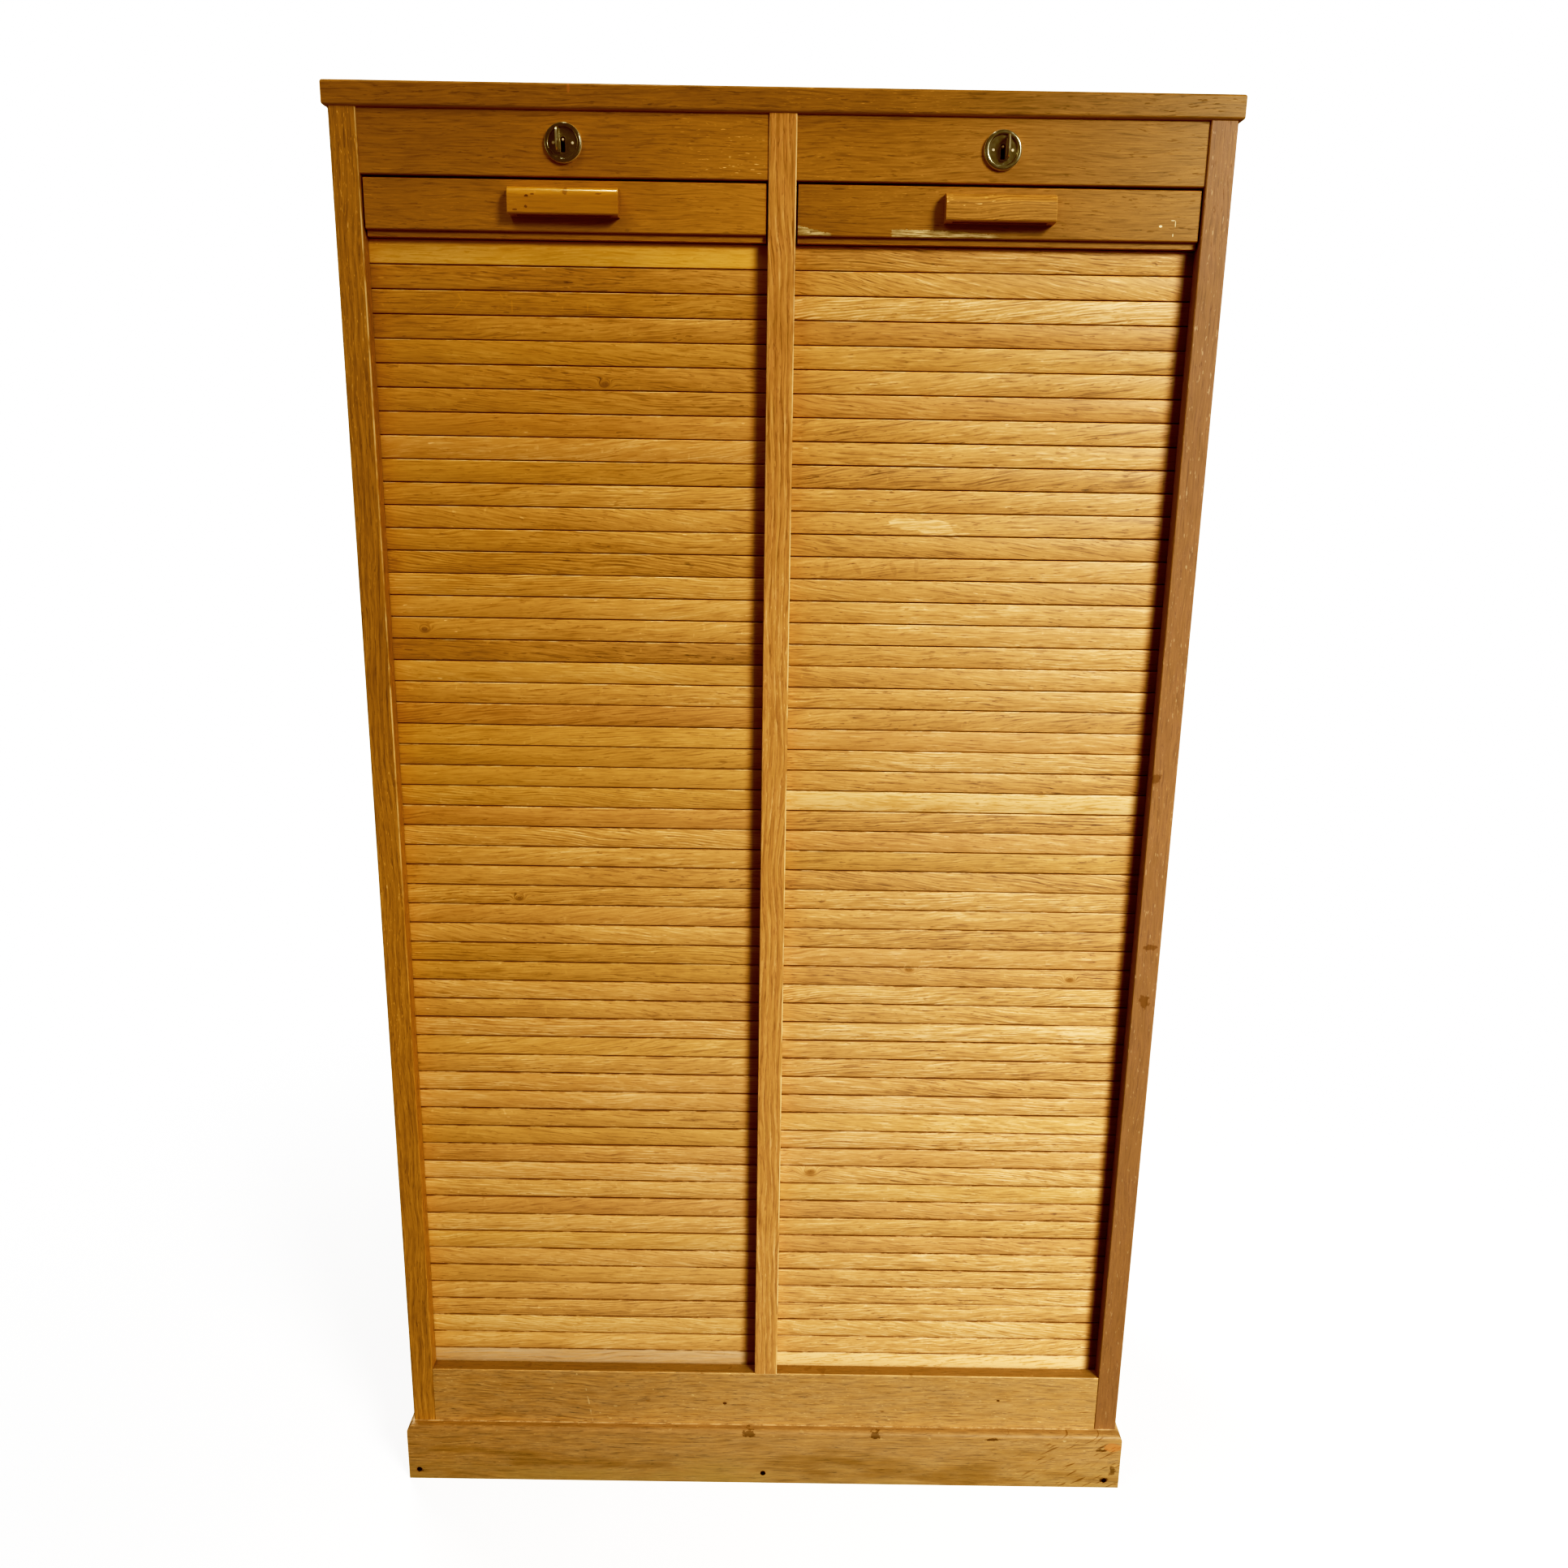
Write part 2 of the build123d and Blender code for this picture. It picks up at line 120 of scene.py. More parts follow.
# Corners of a box by their number, for its six faces
BOX_FACES = ((0, 1, 3, 2), (4, 6, 7, 5), (0, 4, 5, 1), (2, 3, 7, 6), (0, 2, 6, 4), (1, 5, 7, 3))

# Places on the cabinet, from its solids
POST_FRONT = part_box("left_front_post")[0].y
OUTER_POST_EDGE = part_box("right_front_post")[0].x
CENTRE_POST_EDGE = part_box("centre_front_post")[1].x
LEAD_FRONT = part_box("right_lead_rail")[0].y
RAIL_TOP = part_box("bottom_rail")[1].z
PLINTH_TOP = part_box("front_plinth")[1].z
SLATS_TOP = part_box("left_slats_1")[1].z
SLATS_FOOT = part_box(f"left_slats_{GROUPS}")[0].z
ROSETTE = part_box("right_lock_rosette")

# Locks, from the middle of the cabinet and the floor, with the places of painted highlights on their rivets,
# rim and pins
LOCK_X = (ROSETTE[0].x + ROSETTE[1].x) / 2
LOCK_HEIGHT = (ROSETTE[0].z + ROSETTE[1].z) / 2
KEYHOLE_HEIGHT = LOCK_HEIGHT + 0.0034
RIVET = ((0.010, 0.0), (0.0017, 0.0017))
ROSETTE_RIM = (0.0190, 0.0194)
PIN_HALF = (0.0016, 0.0016)

# Slats whose tone stands out in the photograph, counted from the top
SLAT_TONES = {
    "left": {1: 2.2, 2: -0.5, 3: -0.4, 9: 1.3, 11: 0.5, 14: -0.6, 15: 0.5, 40: 0.5, 46: 0.4, 56: 0.2},
    "right": {2: 0.3, 3: 1.0, 4: -0.5, 5: 0.35, 24: -0.5, 25: 2.5, 40: 0.4, 43: 0.5, 46: 0.45, 54: 0.5,
              56: 2.5},
}
# Knots as (x, height, radius), in metres
SLAT_KNOTS = ((0.0531, 0.4466, 0.006), (0.1692, 0.7278, 0.0045), (0.3678, 0.7171, 0.004),
              (-0.4044, 1.1374, 0.004), (-0.3069, 0.8129, 0.0035), (-0.1921, 1.4098, 0.0035))

# Rays of the oak as (x, height, half width, half height, lean): pale on a left slat, dark on a right one
PALE_RAYS = ((-0.3816, 1.4882, 0.0012, 0.0056, 1.9), (-0.3465, 1.4975, 0.0010, 0.0045, -0.5),
             (-0.3497, 1.4895, 0.0010, 0.0062, 0.9), (-0.3016, 1.4990, 0.0012, 0.0036, -0.6),
             (-0.2908, 1.4890, 0.0010, 0.0075, 0.0), (-0.2090, 1.4892, 0.0010, 0.0055, 0.0))
DARK_RAYS = ((0.0556, 1.2160, 0.0030, 0.0085, 0.0), (0.0901, 1.2153, 0.0042, 0.0080, -0.6),
             (0.1317, 1.2159, 0.0038, 0.0095, -0.3), (0.1579, 1.2182, 0.0030, 0.0090, 0.0))

# Marks on single pieces as (place, half size) on the front, in metres, some with a share
TOP_DENT = ((-0.2209, 1.6988), (0.0018, 0.005))
LEAD_SPECKS = (
    ((0.3993, 1.5775), (0.0020, 0.0013), 0.9),
    ((0.4147, 1.5800), (0.0006, 0.0036), 0.6),
    ((0.4120, 1.5833), (0.0026, 0.0006), 0.6),
    ((0.4129, 1.5689), (0.0007, 0.0018), 0.6),
)
PLINTH_BRUISES = (
    ((0.1466, 0.0762), (0.008, 0.0036), 0.75),
    ((0.3045, 0.0737), (0.009, 0.0022), 0.75),
    ((-0.0209, 0.0765), (0.008, 0.004), 0.65),
    ((0.4564, 0.0115), (0.0055, 0.0042), 0.8),
    ((0.4660, 0.026), (0.004, 0.008), 0.55),
    ((-0.4620, 0.0142), (0.006, 0.0034), 0.7),
    ((0.4480, 0.0585), (0.009, 0.0022), 0.6),
)
PLINTH_RED = ((0.4640, 0.0640), (0.012, 0.007))
RAIL_KNOTS = (((-0.0541, 0.1122), (0.0034, 0.0017)), ((0.3107, 0.1222), (0.0022, 0.0014)))
RAIL_SCRATCH = ((-0.2398, 0.110), (0.0012, 0.034))
HANDLE_SPECKS = (
    ((-0.2650, 1.5938), (0.0022, 0.0014), 0.8),
    ((-0.2594, 1.5954), (0.0020, 0.0010), 0.6),
    ((-0.2660, 1.5834), (0.0020, 0.0016), 0.6),
    ((-0.2771, 1.5802), (0.0030, 0.0010), 0.5),
    ((-0.1906, 1.5965), (0.0040, 0.0010), 0.5),
    ((-0.2254, 1.5989), (0.0030, 0.0050), 0.4),
)
POST_BRUISES = (
    ((0.4464, 0.9788), (0.005, 0.008)),
    ((0.4581, 0.7688), (0.008, 0.004)),
    ((0.4560, 0.7000), (0.006, 0.010)),
)
PALE_PATCH = ((0.1661, 1.2635), (0.047, 0.0095))

# Chipped varnish on the right lead rail: a wedge that falls from its left end, and a strip
CHIP_WEDGE = (0.0168, 1.5728)
CHIP_SLOPE = -0.21
CHIP_STRIP_TOP = 1.5704

# Borders of places in metres, each from where it is outside to where it is inside
LEAD_FACE = (LEAD_FRONT + 0.0039, LEAD_FRONT + 0.0019)
CHIP_WEDGE_END = (0.0535, 0.0505)
CHIP_STRIP_START = (0.1150, 0.1165)
CHIP_STRIP_END = (0.262, 0.205)
PLINTH_ARRIS = (PLINTH_TOP - 0.012, PLINTH_TOP - 0.007)
PLINTH_ROUND = (PLINTH_TOP - 0.010, PLINTH_TOP - 0.0025)
PLINTH_JOINT = (POST_FRONT - 0.0031, POST_FRONT - 0.0017)
RAIL_LEDGE = (RAIL_TOP - 0.0012, RAIL_TOP - 0.0002)
RAIL_LEDGE_FRONT = (POST_FRONT + 0.0009, POST_FRONT + 0.0019)
POST_FACE = (POST_FRONT + 0.0029, POST_FRONT + 0.0015)
POST_ARRIS = (0.0016, 0.0009)
LEFT_COLUMN = (0.0, -0.01)
LOWER_SLATS = (1.2, 0.6)
FIRST_SLAT = (SLATS_TOP - 0.0254, SLATS_TOP - 0.0244)
LAST_SLAT = (SLATS_FOOT + 0.0253, SLATS_FOOT + 0.0243)
LEFT_SLAT_END = (-CENTRE_POST_EDGE - 0.02125, -CENTRE_POST_EDGE - 0.00425)
RIGHT_SLAT_END = (OUTER_POST_EDGE - 0.0215, OUTER_POST_EDGE - 0.0045)

# Colours of oak, from the darkest to the palest
OAK_STOPS = (
    (0.0, (52, 32, 12)),
    (0.2, (110, 82, 44)),
    (0.4, (158, 121, 76)),
    (0.6, (192, 149, 97)),
    (0.8, (214, 170, 116)),
    (1.0, (242, 207, 164)),
)

# Colours of washes, fading, wear, dirt and odd slats, and of painted light, shade and highlights
TINTS = {
    "centre_post_wash": (198, 138, 106),
    "right_post_wash": (144, 107, 98),
    "honey_wash": (196, 148, 54),
    "rail_wash": (158, 152, 144),
    "plinth_wash": (152, 148, 142),
    "bare_wash": (232, 214, 190),
    "painted_light_oak": (190, 168, 148),
    "painted_light_slats": (212, 186, 172),
    "dull_wood": (146, 122, 84),
    "bare_wood": (226, 208, 176),
    "bare_plywood": (226, 206, 174),
    "canvas_shade": (150, 132, 100),
    "canvas_thread": (196, 180, 146),
    "corner_dirt_and_shade": (58, 26, 10),
    "painted_bounce_underside": (224, 172, 128),
    "top_dent": (206, 142, 114),
    "deep_chip": (96, 66, 36),
    "white_speck": (244, 228, 198),
    "plinth_stain": (122, 98, 54),
    "washed_foot": (172, 150, 108),
    "plinth_bruise": (58, 34, 14),
    "crack": (92, 60, 26),
    "red_patch": (206, 132, 86),
    "pale_scuff": (226, 200, 164),
    "plinth_top": (122, 94, 64),
    "rubbed_joint": (222, 194, 164),
    "rail_dent": (110, 74, 36),
    "rail_knot": (66, 36, 18),
    "rail_scratch": (226, 204, 174),
    "rail_ledge": (108, 84, 52),
    "arris_wear_and_highlight": (236, 208, 170),
    "handle_speck": (84, 48, 12),
    "post_speck": (222, 198, 170),
    "post_bruise": (96, 62, 38),
    "post_foot": (104, 76, 52),
    "yellow_slat": (194, 154, 78),
    "red_slat": (188, 136, 90),
    "first_slat": (250, 200, 108),
    "pale_ray": (216, 166, 96),
    "knot": (116, 82, 44),
    "faded_slat": (192, 176, 162),
    "rubbed_slat": (238, 216, 188),
    "slat_joint": (88, 52, 26),
    "slat_underside_shade": (102, 66, 30),
    "shaded_end": (84, 40, 22),
    "slat_dirt_and_shade": (92, 50, 26),
    "plywood_dirt_and_shade": (60, 36, 18),
    "canvas_stain": (120, 96, 62),
    "metal_grime": (26, 20, 12),
    "metal_painted_highlight": (250, 236, 216),
}


def linear(colour):
    """An sRGB colour of 0 to 255 as linear RGBA."""
    shares = [c / 255 for c in colour]
    return tuple(s / 12.92 if s <= 0.04045 else ((s + 0.055) / 1.055) ** 2.4 for s in shares) + (1.0,)


class Nodes:
    """Short ways to add shader nodes to a new material. A value is a number, a colour or a node's output."""

    def __init__(self, name):
        self.material = bpy.data.materials.new(name)
        self.material.use_nodes = True
        self.tree = self.material.node_tree
        self.tree.nodes.clear()

    def put(self, socket, value):
        if isinstance(value, bpy.types.NodeSocket):
            self.tree.links.new(value, socket)
        else:
            socket.default_value = value

    def node(self, kind, inputs, **settings):
        made = self.tree.nodes.new(kind)
        for key, value in settings.items():
            setattr(made, key, value)
        for key, value in inputs.items():
            self.put(made.inputs[key], value)
        return made

    def math(self, operation, a, b=0.0):
        return self.node("ShaderNodeMath", {0: a, 1: b}, operation=operation).outputs[0]

    def add(self, first, *others):
        for other in others:
            first = self.math("ADD", first, other)
        return first

    def times(self, first, *others):
        for other in others:
            first = self.math("MULTIPLY", first, other)
        return first

    def about(self, value, amount):
        """A field of 0 to 1 as a change of plus or minus half the amount."""
        return self.times(self.add(value, -0.5), amount)

    def step(self, value, start, end):
        """A smooth rise from 0 at start to 1 at end."""
        inputs = {"Value": value, "From Min": start, "From Max": end}
        return self.node("ShaderNodeMapRange", inputs, interpolation_type="SMOOTHSTEP").outputs[0]

    def limit(self, value, low, high):
        return self.node("ShaderNodeClamp", {"Value": value, "Min": low, "Max": high}).outputs[0]

    def vector(self, x, y, z):
        return self.node("ShaderNodeCombineXYZ", {0: x, 1: y, 2: z}).outputs[0]

    def place(self):
        """Object coordinates, which are the row frame's places in metres."""
        coordinates = self.node("ShaderNodeTexCoord", {}).outputs["Object"]
        return self.node("ShaderNodeSeparateXYZ", {0: coordinates}).outputs[:]

    def noise(self, places, scales, detail=2.0, roughness=0.5):
        scaled = self.vector(*[self.times(p, s) for p, s in zip(places, scales)])
        inputs = {"Vector": scaled, "Scale": 1.0, "Detail": detail, "Roughness": roughness}
        return self.node("ShaderNodeTexNoise", inputs).outputs["Fac"]

    def attribute(self, name):
        return self.node("ShaderNodeAttribute", {}, attribute_name=name).outputs["Fac"]

    def mix(self, share, a, b, blend="MIX"):
        inputs = {0: share, 6: a, 7: b}
        return self.node("ShaderNodeMix", inputs, data_type="RGBA", blend_type=blend).outputs[2]

    def stain(self, share, colour, tint):
        """A colour with a share of one of the tints."""
        return self.mix(share, colour, linear(TINTS[tint]))

    def ramp(self, value, stops):
        made = self.node("ShaderNodeValToRGB", {"Fac": value})
        elements = made.color_ramp.elements
        while len(elements) < len(stops):
            elements.new(0.5)
        for element, (position, colour) in zip(elements, stops):
            element.position = position
            element.color = linear(colour)
        return made.outputs["Color"]

    def edges(self, radius, strength):
        """1 on worn outer edges, from the difference between a rounded and the true normal."""
        rounded = self.node("ShaderNodeBevel", {"Radius": radius}, samples=4).outputs[0]
        normal = self.node("ShaderNodeNewGeometry", {}).outputs["Normal"]
        inputs = {0: rounded, 1: normal}
        alike = self.node("ShaderNodeVectorMath", inputs, operation="DOT_PRODUCT").outputs["Value"]
        return self.limit(self.times(self.math("SUBTRACT", 1.0, alike), strength), 0.0, 1.0)

    def downward(self):
        """1 on faces that look down."""
        normal = self.node("ShaderNodeNewGeometry", {}).outputs["Normal"]
        return self.step(self.node("ShaderNodeSeparateXYZ", {0: normal}).outputs[2], -0.7, -0.95)

    def shut_in(self, distance):
        """1 deep in corners, 0 in the open."""
        inputs = {"Distance": distance}
        open_share = self.node("ShaderNodeAmbientOcclusion", inputs, samples=6).outputs["AO"]
        return self.math("SUBTRACT", 1.0, open_share)

    def spot(self, x, z, middle, half, ragged=0.0):
        """A patch on a front, 1 in its middle and 0 outside, with a ragged border where a noise is given."""
        dx = self.times(self.math("ABSOLUTE", self.add(x, -middle[0])), 1 / half[0])
        dz = self.times(self.math("ABSOLUTE", self.add(z, -middle[1])), 1 / half[1])
        away = self.math("SQRT", self.add(self.times(dx, dx), self.times(dz, dz)))
        return self.step(self.add(away, ragged), 1.0, 0.75)

    def rays(self, x, z, places):
        """Short rays across the grain, 1 on them."""
        shares = []
        for ray_x, ray_z, half_width, half_height, lean in places:
            leant = self.add(x, self.times(self.add(z, -ray_z), -lean))
            shares.append(self.spot(leant, z, (ray_x, ray_z), (half_width, half_height)))
        return self.add(*shares)

    def finish(self, colour, roughness, height, depth, **constants):
        """The surface itself, with bump from a height field. Constants are the shader's own sockets."""
        bump = self.node("ShaderNodeBump", {"Height": height, "Strength": 0.5, "Distance": depth}).outputs[0]
        inputs = {"Base Color": colour, "Roughness": roughness, "Normal": bump}
        inputs.update({key.replace("_", " "): value for key, value in constants.items()})
        shader = self.node("ShaderNodeBsdfPrincipled", inputs)
        output = self.node("ShaderNodeOutputMaterial", {})
        self.put(output.inputs["Surface"], shader.outputs[0])
        return self.material


def oak_grain(n, along, across, depth):
    """Fields of oak grain, 0 to 1, from places along and across it."""
    places = (along, across, depth)
    sway = n.about(n.noise(places, (1.1, 5.0, 5.0)), 0.03)
    curl = n.about(n.noise(places, (6.0, 17.0, 17.0)), 0.022)
    across = n.add(across, sway, curl)
    places = (along, across, depth)
    grain = {
        "fine": n.noise(places, (60.0, 850.0, 850.0), 3.0, 0.6),
        "streak": n.noise(places, (18.0, 400.0, 400.0), 3.0, 0.6),
        "mottle": n.noise(places, (30.0, 105.0, 105.0), 3.0, 0.6),
        "patch": n.noise(places, (3.2, 13.0, 13.0), 3.0),
        "dashes": n.noise(places, (90.0, 600.0, 600.0), 2.0),
        "lines": n.step(n.noise(places, (27.0, 470.0, 470.0), 2.0, 0.6), 0.55, 0.64),
    }
    a = n.add(across, 0.22)
    d = n.add(depth, -0.31)
    far = n.math("SQRT", n.add(n.times(a, a), n.times(d, d)))
    grain["ring"] = n.math("FRACT", n.add(n.times(far, 330.0), n.times(grain["streak"], 1.1)))
    grain["pores"] = n.times(n.step(grain["dashes"], 0.59, 0.67), n.step(grain["mottle"], 0.42, 0.62))
    return grain


def oak_tone(n, grain, tone, figure, strength=1.0):
    """Where the wood lies between the darkest and the palest oak."""
    changes = (
        n.about(grain["fine"], 0.26 * strength),
        n.about(grain["streak"], 0.24 * strength),
        n.about(grain["mottle"], 0.10 * strength),
        n.about(grain["patch"], 0.22),
        n.about(grain["ring"], figure),
        n.times(grain["lines"], -0.09 * strength),
        n.times(grain["pores"], -0.13 * strength),
        0.03 * strength,
    )
    return n.add(tone, *changes)


def oak_finish(n, grain, colour, rough, wear=0.0, **constants):
    """Oak's varnish, dulled in the pores and where it is worn."""
    roughness = n.add(
        n.about(grain["streak"], 0.12),
        n.about(grain["patch"], 0.16),
        n.times(grain["pores"], 0.2),
        n.times(wear, 0.2),
        rough,
    )
    height = n.add(n.times(grain["fine"], 0.25), n.times(grain["pores"], -0.6))
    return n.finish(colour, n.limit(roughness, 0.12, 0.9), height, 0.0002, **constants)


def painted_light_gradient(n, place, colour, start, pale, fall=0.3):
    """Painted light and sheen: oak made paler towards the right and the foot of the cabinet, from a place on.
    """
    x, _, z = place
    share = n.times(n.add(x, n.times(z, -fall), 0.3 - start), 0.37)
    return n.stain(n.limit(share, 0.0, 0.26), colour, pale)


def oak(name, run, tone, drift=0.0, figure=0.05, strength=0.9, rough=0.42, coat=0.08, specular=0.35,
        wear=0.55, grime=0.6, scuff=0.3, wash=None, faded=-0.1, marks=()):
    """Varnished oak for a CAD node.

    run is the axis of its grain, tone its place between the darkest and the palest oak, drift the change of
    tone for each metre to the right, figure the depth of its rings and strength that of its grain. rough,
    coat and specular make the varnish. wear is rubbed edges, grime the share of dirt and painted shade in
    corners and scuff scratches.
    wash is a tint with its share, faded the place from which painted light and sheen make it paler
    towards the right and the foot, and marks are functions that add its own wear.
    """
    n = Nodes(name)
    place = n.place()
    x, y, z = place
    along, across, depth = {"X": (x, z, y), "Y": (y, z, x), "Z": (z, x, y)}[run]
    grain = oak_grain(n, along, across, depth)
    value = oak_tone(n, grain, tone, figure, strength)
    if drift:
        value = n.add(value, n.times(x, drift))
    worn = n.noise(place, (90.0, 90.0, 90.0), 3.0, 0.6)
    edge = n.times(n.edges(0.0016, 6.0), n.step(worn, 0.38, 0.58), wear)
    value = n.add(value, n.times(edge, 0.34))
    scratches = n.step(n.noise((along, across, depth), (120.0, 800.0, 300.0), 2.0), 0.64, 0.72)
    value = n.add(value, n.times(scratches, n.step(grain["patch"], 0.42, 0.6), scuff))
    colour = n.ramp(value, OAK_STOPS)
    if wash:
        share, tint = wash
        colour = n.stain(n.add(n.about(grain["mottle"], 0.4), share), colour, tint)
    # Painted light and sheen: paler towards the right and the foot
    colour = painted_light_gradient(n, place, colour, faded, "painted_light_oak")
    for mark in marks:
        colour = mark(n, place, grain, colour)
    # Painted light: faces that look down are made paler, standing in for light bounced up from below
    colour = n.stain(n.times(n.downward(), 0.6), colour, "painted_bounce_underside")
    # Dirt and painted shade: darker deep in corners, from ambient occlusion
    dirt_and_shade = n.times(n.step(n.shut_in(0.005), 0.35, 0.95), grime)
    colour = n.stain(dirt_and_shade, colour, "corner_dirt_and_shade")
    return oak_finish(n, grain, colour, rough, edge, Coat_Weight=coat, Coat_Roughness=0.22,
                      Specular_IOR_Level=specular)


def top_marks(n, place, grain, colour):
    """A dent in the top board's front."""
    x, _, z = place
    dent = n.spot(x, z, *TOP_DENT, n.about(grain["mottle"], 1.0))
    return n.stain(n.times(dent, 0.45), colour, "top_dent")


def chip_marks(n, place, grain, colour):
    """Varnish chipped off along the lower edge of the right lead rail, and white specks."""
    x, y, z = place
    front = n.step(y, *LEAD_FACE)
    ragged = n.noise(place, (150.0, 150.0, 420.0), 4.0, 0.7)
    jagged = n.noise((x, y, 0.0), (420.0, 1.0, 1.0), 3.0, 0.7)
    wedge = n.add(CHIP_WEDGE[1], n.times(n.add(x, -CHIP_WEDGE[0]), CHIP_SLOPE), n.about(jagged, 0.007))
    first = n.times(n.step(z, wedge, n.add(wedge, -0.0007)), n.step(x, *CHIP_WEDGE_END))
    roof = n.add(CHIP_STRIP_TOP, n.times(n.step(x, 0.15, 0.25), -0.004), n.about(jagged, 0.0045))
    bent = n.add(x, n.about(ragged, 0.008))
    strip = n.times(n.step(bent, *CHIP_STRIP_START), n.step(bent, *CHIP_STRIP_END))
    second = n.times(n.step(z, roof, n.add(roof, -0.0006)), strip)
    streaks = n.noise(place, (40.0, 40.0, 700.0), 4.0, 0.7)
    wood = n.stain(n.step(streaks, 0.36, 0.64), linear(TINTS["dull_wood"]), "bare_wood")
    dark = n.times(first, n.step(ragged, 0.56, 0.62))
    colour = n.mix(n.times(n.math("MAXIMUM", first, second), front, 0.85), colour, wood)
    colour = n.stain(n.times(dark, front, 0.7), colour, "deep_chip")
    for middle, half, share in LEAD_SPECKS:
        colour = n.stain(n.times(n.spot(x, z, middle, half), share), colour, "white_speck")
    return colour


def plinth_marks(n, place, grain, colour):
    """Kicks, knots, cracks and stains on the plinth."""
    x, y, z = place
    stain = n.noise(place, (5.0, 5.0, 26.0), 3.0, 0.6)
    low = n.step(n.add(z, n.about(grain["patch"], 0.05)), 0.05, 0.004)
    colour = n.stain(n.times(n.step(stain, 0.48, 0.68), n.step(z, 0.07, 0.04), 0.45), colour, "plinth_stain")
    colour = n.stain(n.times(low, n.step(stain, 0.62, 0.38), 0.5), colour, "washed_foot")
    rag = n.about(n.noise(place, (150.0, 150.0, 330.0), 4.0, 0.7), 3.4)
    for middle, half, shade in PLINTH_BRUISES:
        colour = n.stain(n.times(n.spot(x, z, middle, half, rag), shade), colour, "plinth_bruise")
    slant = n.add(n.times(x, 0.5), n.times(z, -0.86))
    cracks = n.step(n.noise((slant, n.add(x, z), y), (360.0, 26.0, 5.0), 2.0), 0.61, 0.68)
    colour = n.stain(n.times(cracks, n.step(x, 0.26, 0.42), 0.55), colour, "crack")
    red = n.spot(x, z, *PLINTH_RED, n.about(grain["mottle"], 1.2))
    colour = n.stain(n.times(red, 0.35), colour, "red_patch")
    scuffs = n.step(n.noise(place, (80.0, 80.0, 480.0), 3.0, 0.65), 0.65, 0.72)
    specks = n.step(n.noise(place, (130.0, 130.0, 200.0), 2.0), 0.66, 0.74)
    upper = n.times(n.step(z, *PLINTH_ARRIS), n.add(n.times(n.step(x, 0.1, 0.45), 0.5), 0.5))
    colour = n.stain(n.add(n.times(scuffs, 0.2), n.times(upper, specks, 0.6)), colour, "pale_scuff")
    top = n.step(z, *PLINTH_ROUND)
    colour = n.stain(n.times(top, n.add(n.about(grain["mottle"], 0.8), 0.42)), colour, "plinth_top")
    rubbed = n.step(n.noise(place, (60.0, 60.0, 60.0), 3.0, 0.7), 0.4, 0.6)
    joint = n.times(top, n.step(y, *PLINTH_JOINT), n.add(n.times(rubbed, 0.5), 0.2))
    return n.stain(joint, colour, "rubbed_joint")


def rail_marks(n, place, grain, colour):
    """Dents, paint specks, knots and a scratch on the bottom rail, and its darker ledge."""
    x, y, z = place
    dents = n.step(n.noise(place, (60.0, 60.0, 420.0), 2.0), 0.64, 0.71)
    colour = n.stain(n.times(dents, 0.4), colour, "rail_dent")
    specks = n.step(n.noise(place, (150.0, 150.0, 260.0), 1.0), 0.74, 0.79)
    colour = n.stain(n.times(specks, 0.4), colour, "pale_scuff")
    rag = n.about(n.noise(place, (260.0, 260.0, 260.0), 3.0, 0.6), 1.6)
    for middle, half in RAIL_KNOTS:
        colour = n.stain(n.times(n.spot(x, z, middle, half, rag), 0.8), colour, "rail_knot")
    bent = n.add(x, n.times(n.add(z, -0.138), 0.16))
    scratch = n.times(n.spot(bent, z, *RAIL_SCRATCH), n.step(grain["mottle"], 0.42, 0.62))
    colour = n.stain(n.times(scratch, 0.4), colour, "rail_scratch")
    ledge = n.times(n.step(z, *RAIL_LEDGE), n.step(y, *RAIL_LEDGE_FRONT))
    return n.stain(n.times(ledge, 0.65), colour, "rail_ledge")


def arris_wear_and_highlight(edge_x, share, foot):
    """Worn varnish and a painted highlight on a post's upright edge, at a place across the cabinet, from a
    height on.
    """

    def mark(n, place, grain, colour):
        x, y, z = place
        away = n.math("ABSOLUTE", n.add(x, -edge_x))
        line = n.times(n.step(away, *POST_ARRIS), n.step(y, *POST_FACE))
        broken = n.step(n.noise(place, (20.0, 20.0, 12.0), 4.0, 0.7), 0.36, 0.56)
        share_here = n.times(n.step(z, foot, foot + 0.5), share)
        return n.stain(n.times(line, broken, share_here), colour, "arris_wear_and_highlight")

    return mark


def handle_marks(n, place, grain, colour):
    """Dark specks in the left handle's grain."""
    x, _, z = place
    rag = n.about(n.noise(place, (400.0, 400.0, 400.0), 2.0), 1.4)
    for middle, half, shade in HANDLE_SPECKS:
        colour = n.stain(n.times(n.spot(x, z, middle, half, rag), shade), colour, "handle_speck")
    return colour


def post_marks(n, place, grain, colour):
    """Pale specks and dark bruises on the faded right post."""
    x, _, z = place
    specks = n.step(n.noise(place, (420.0, 420.0, 110.0), 2.0), 0.64, 0.72)
    colour = n.stain(n.times(specks, 0.35), colour, "post_speck")
    rag = n.about(n.noise(place, (150.0, 150.0, 150.0), 3.0, 0.6), 2.4)
    for middle, half in POST_BRUISES:
        colour = n.stain(n.times(n.spot(x, z, middle, half, rag), 0.45), colour, "post_bruise")
    return n.stain(n.times(n.step(z, 0.9, 0.2), 0.25), colour, "post_foot")


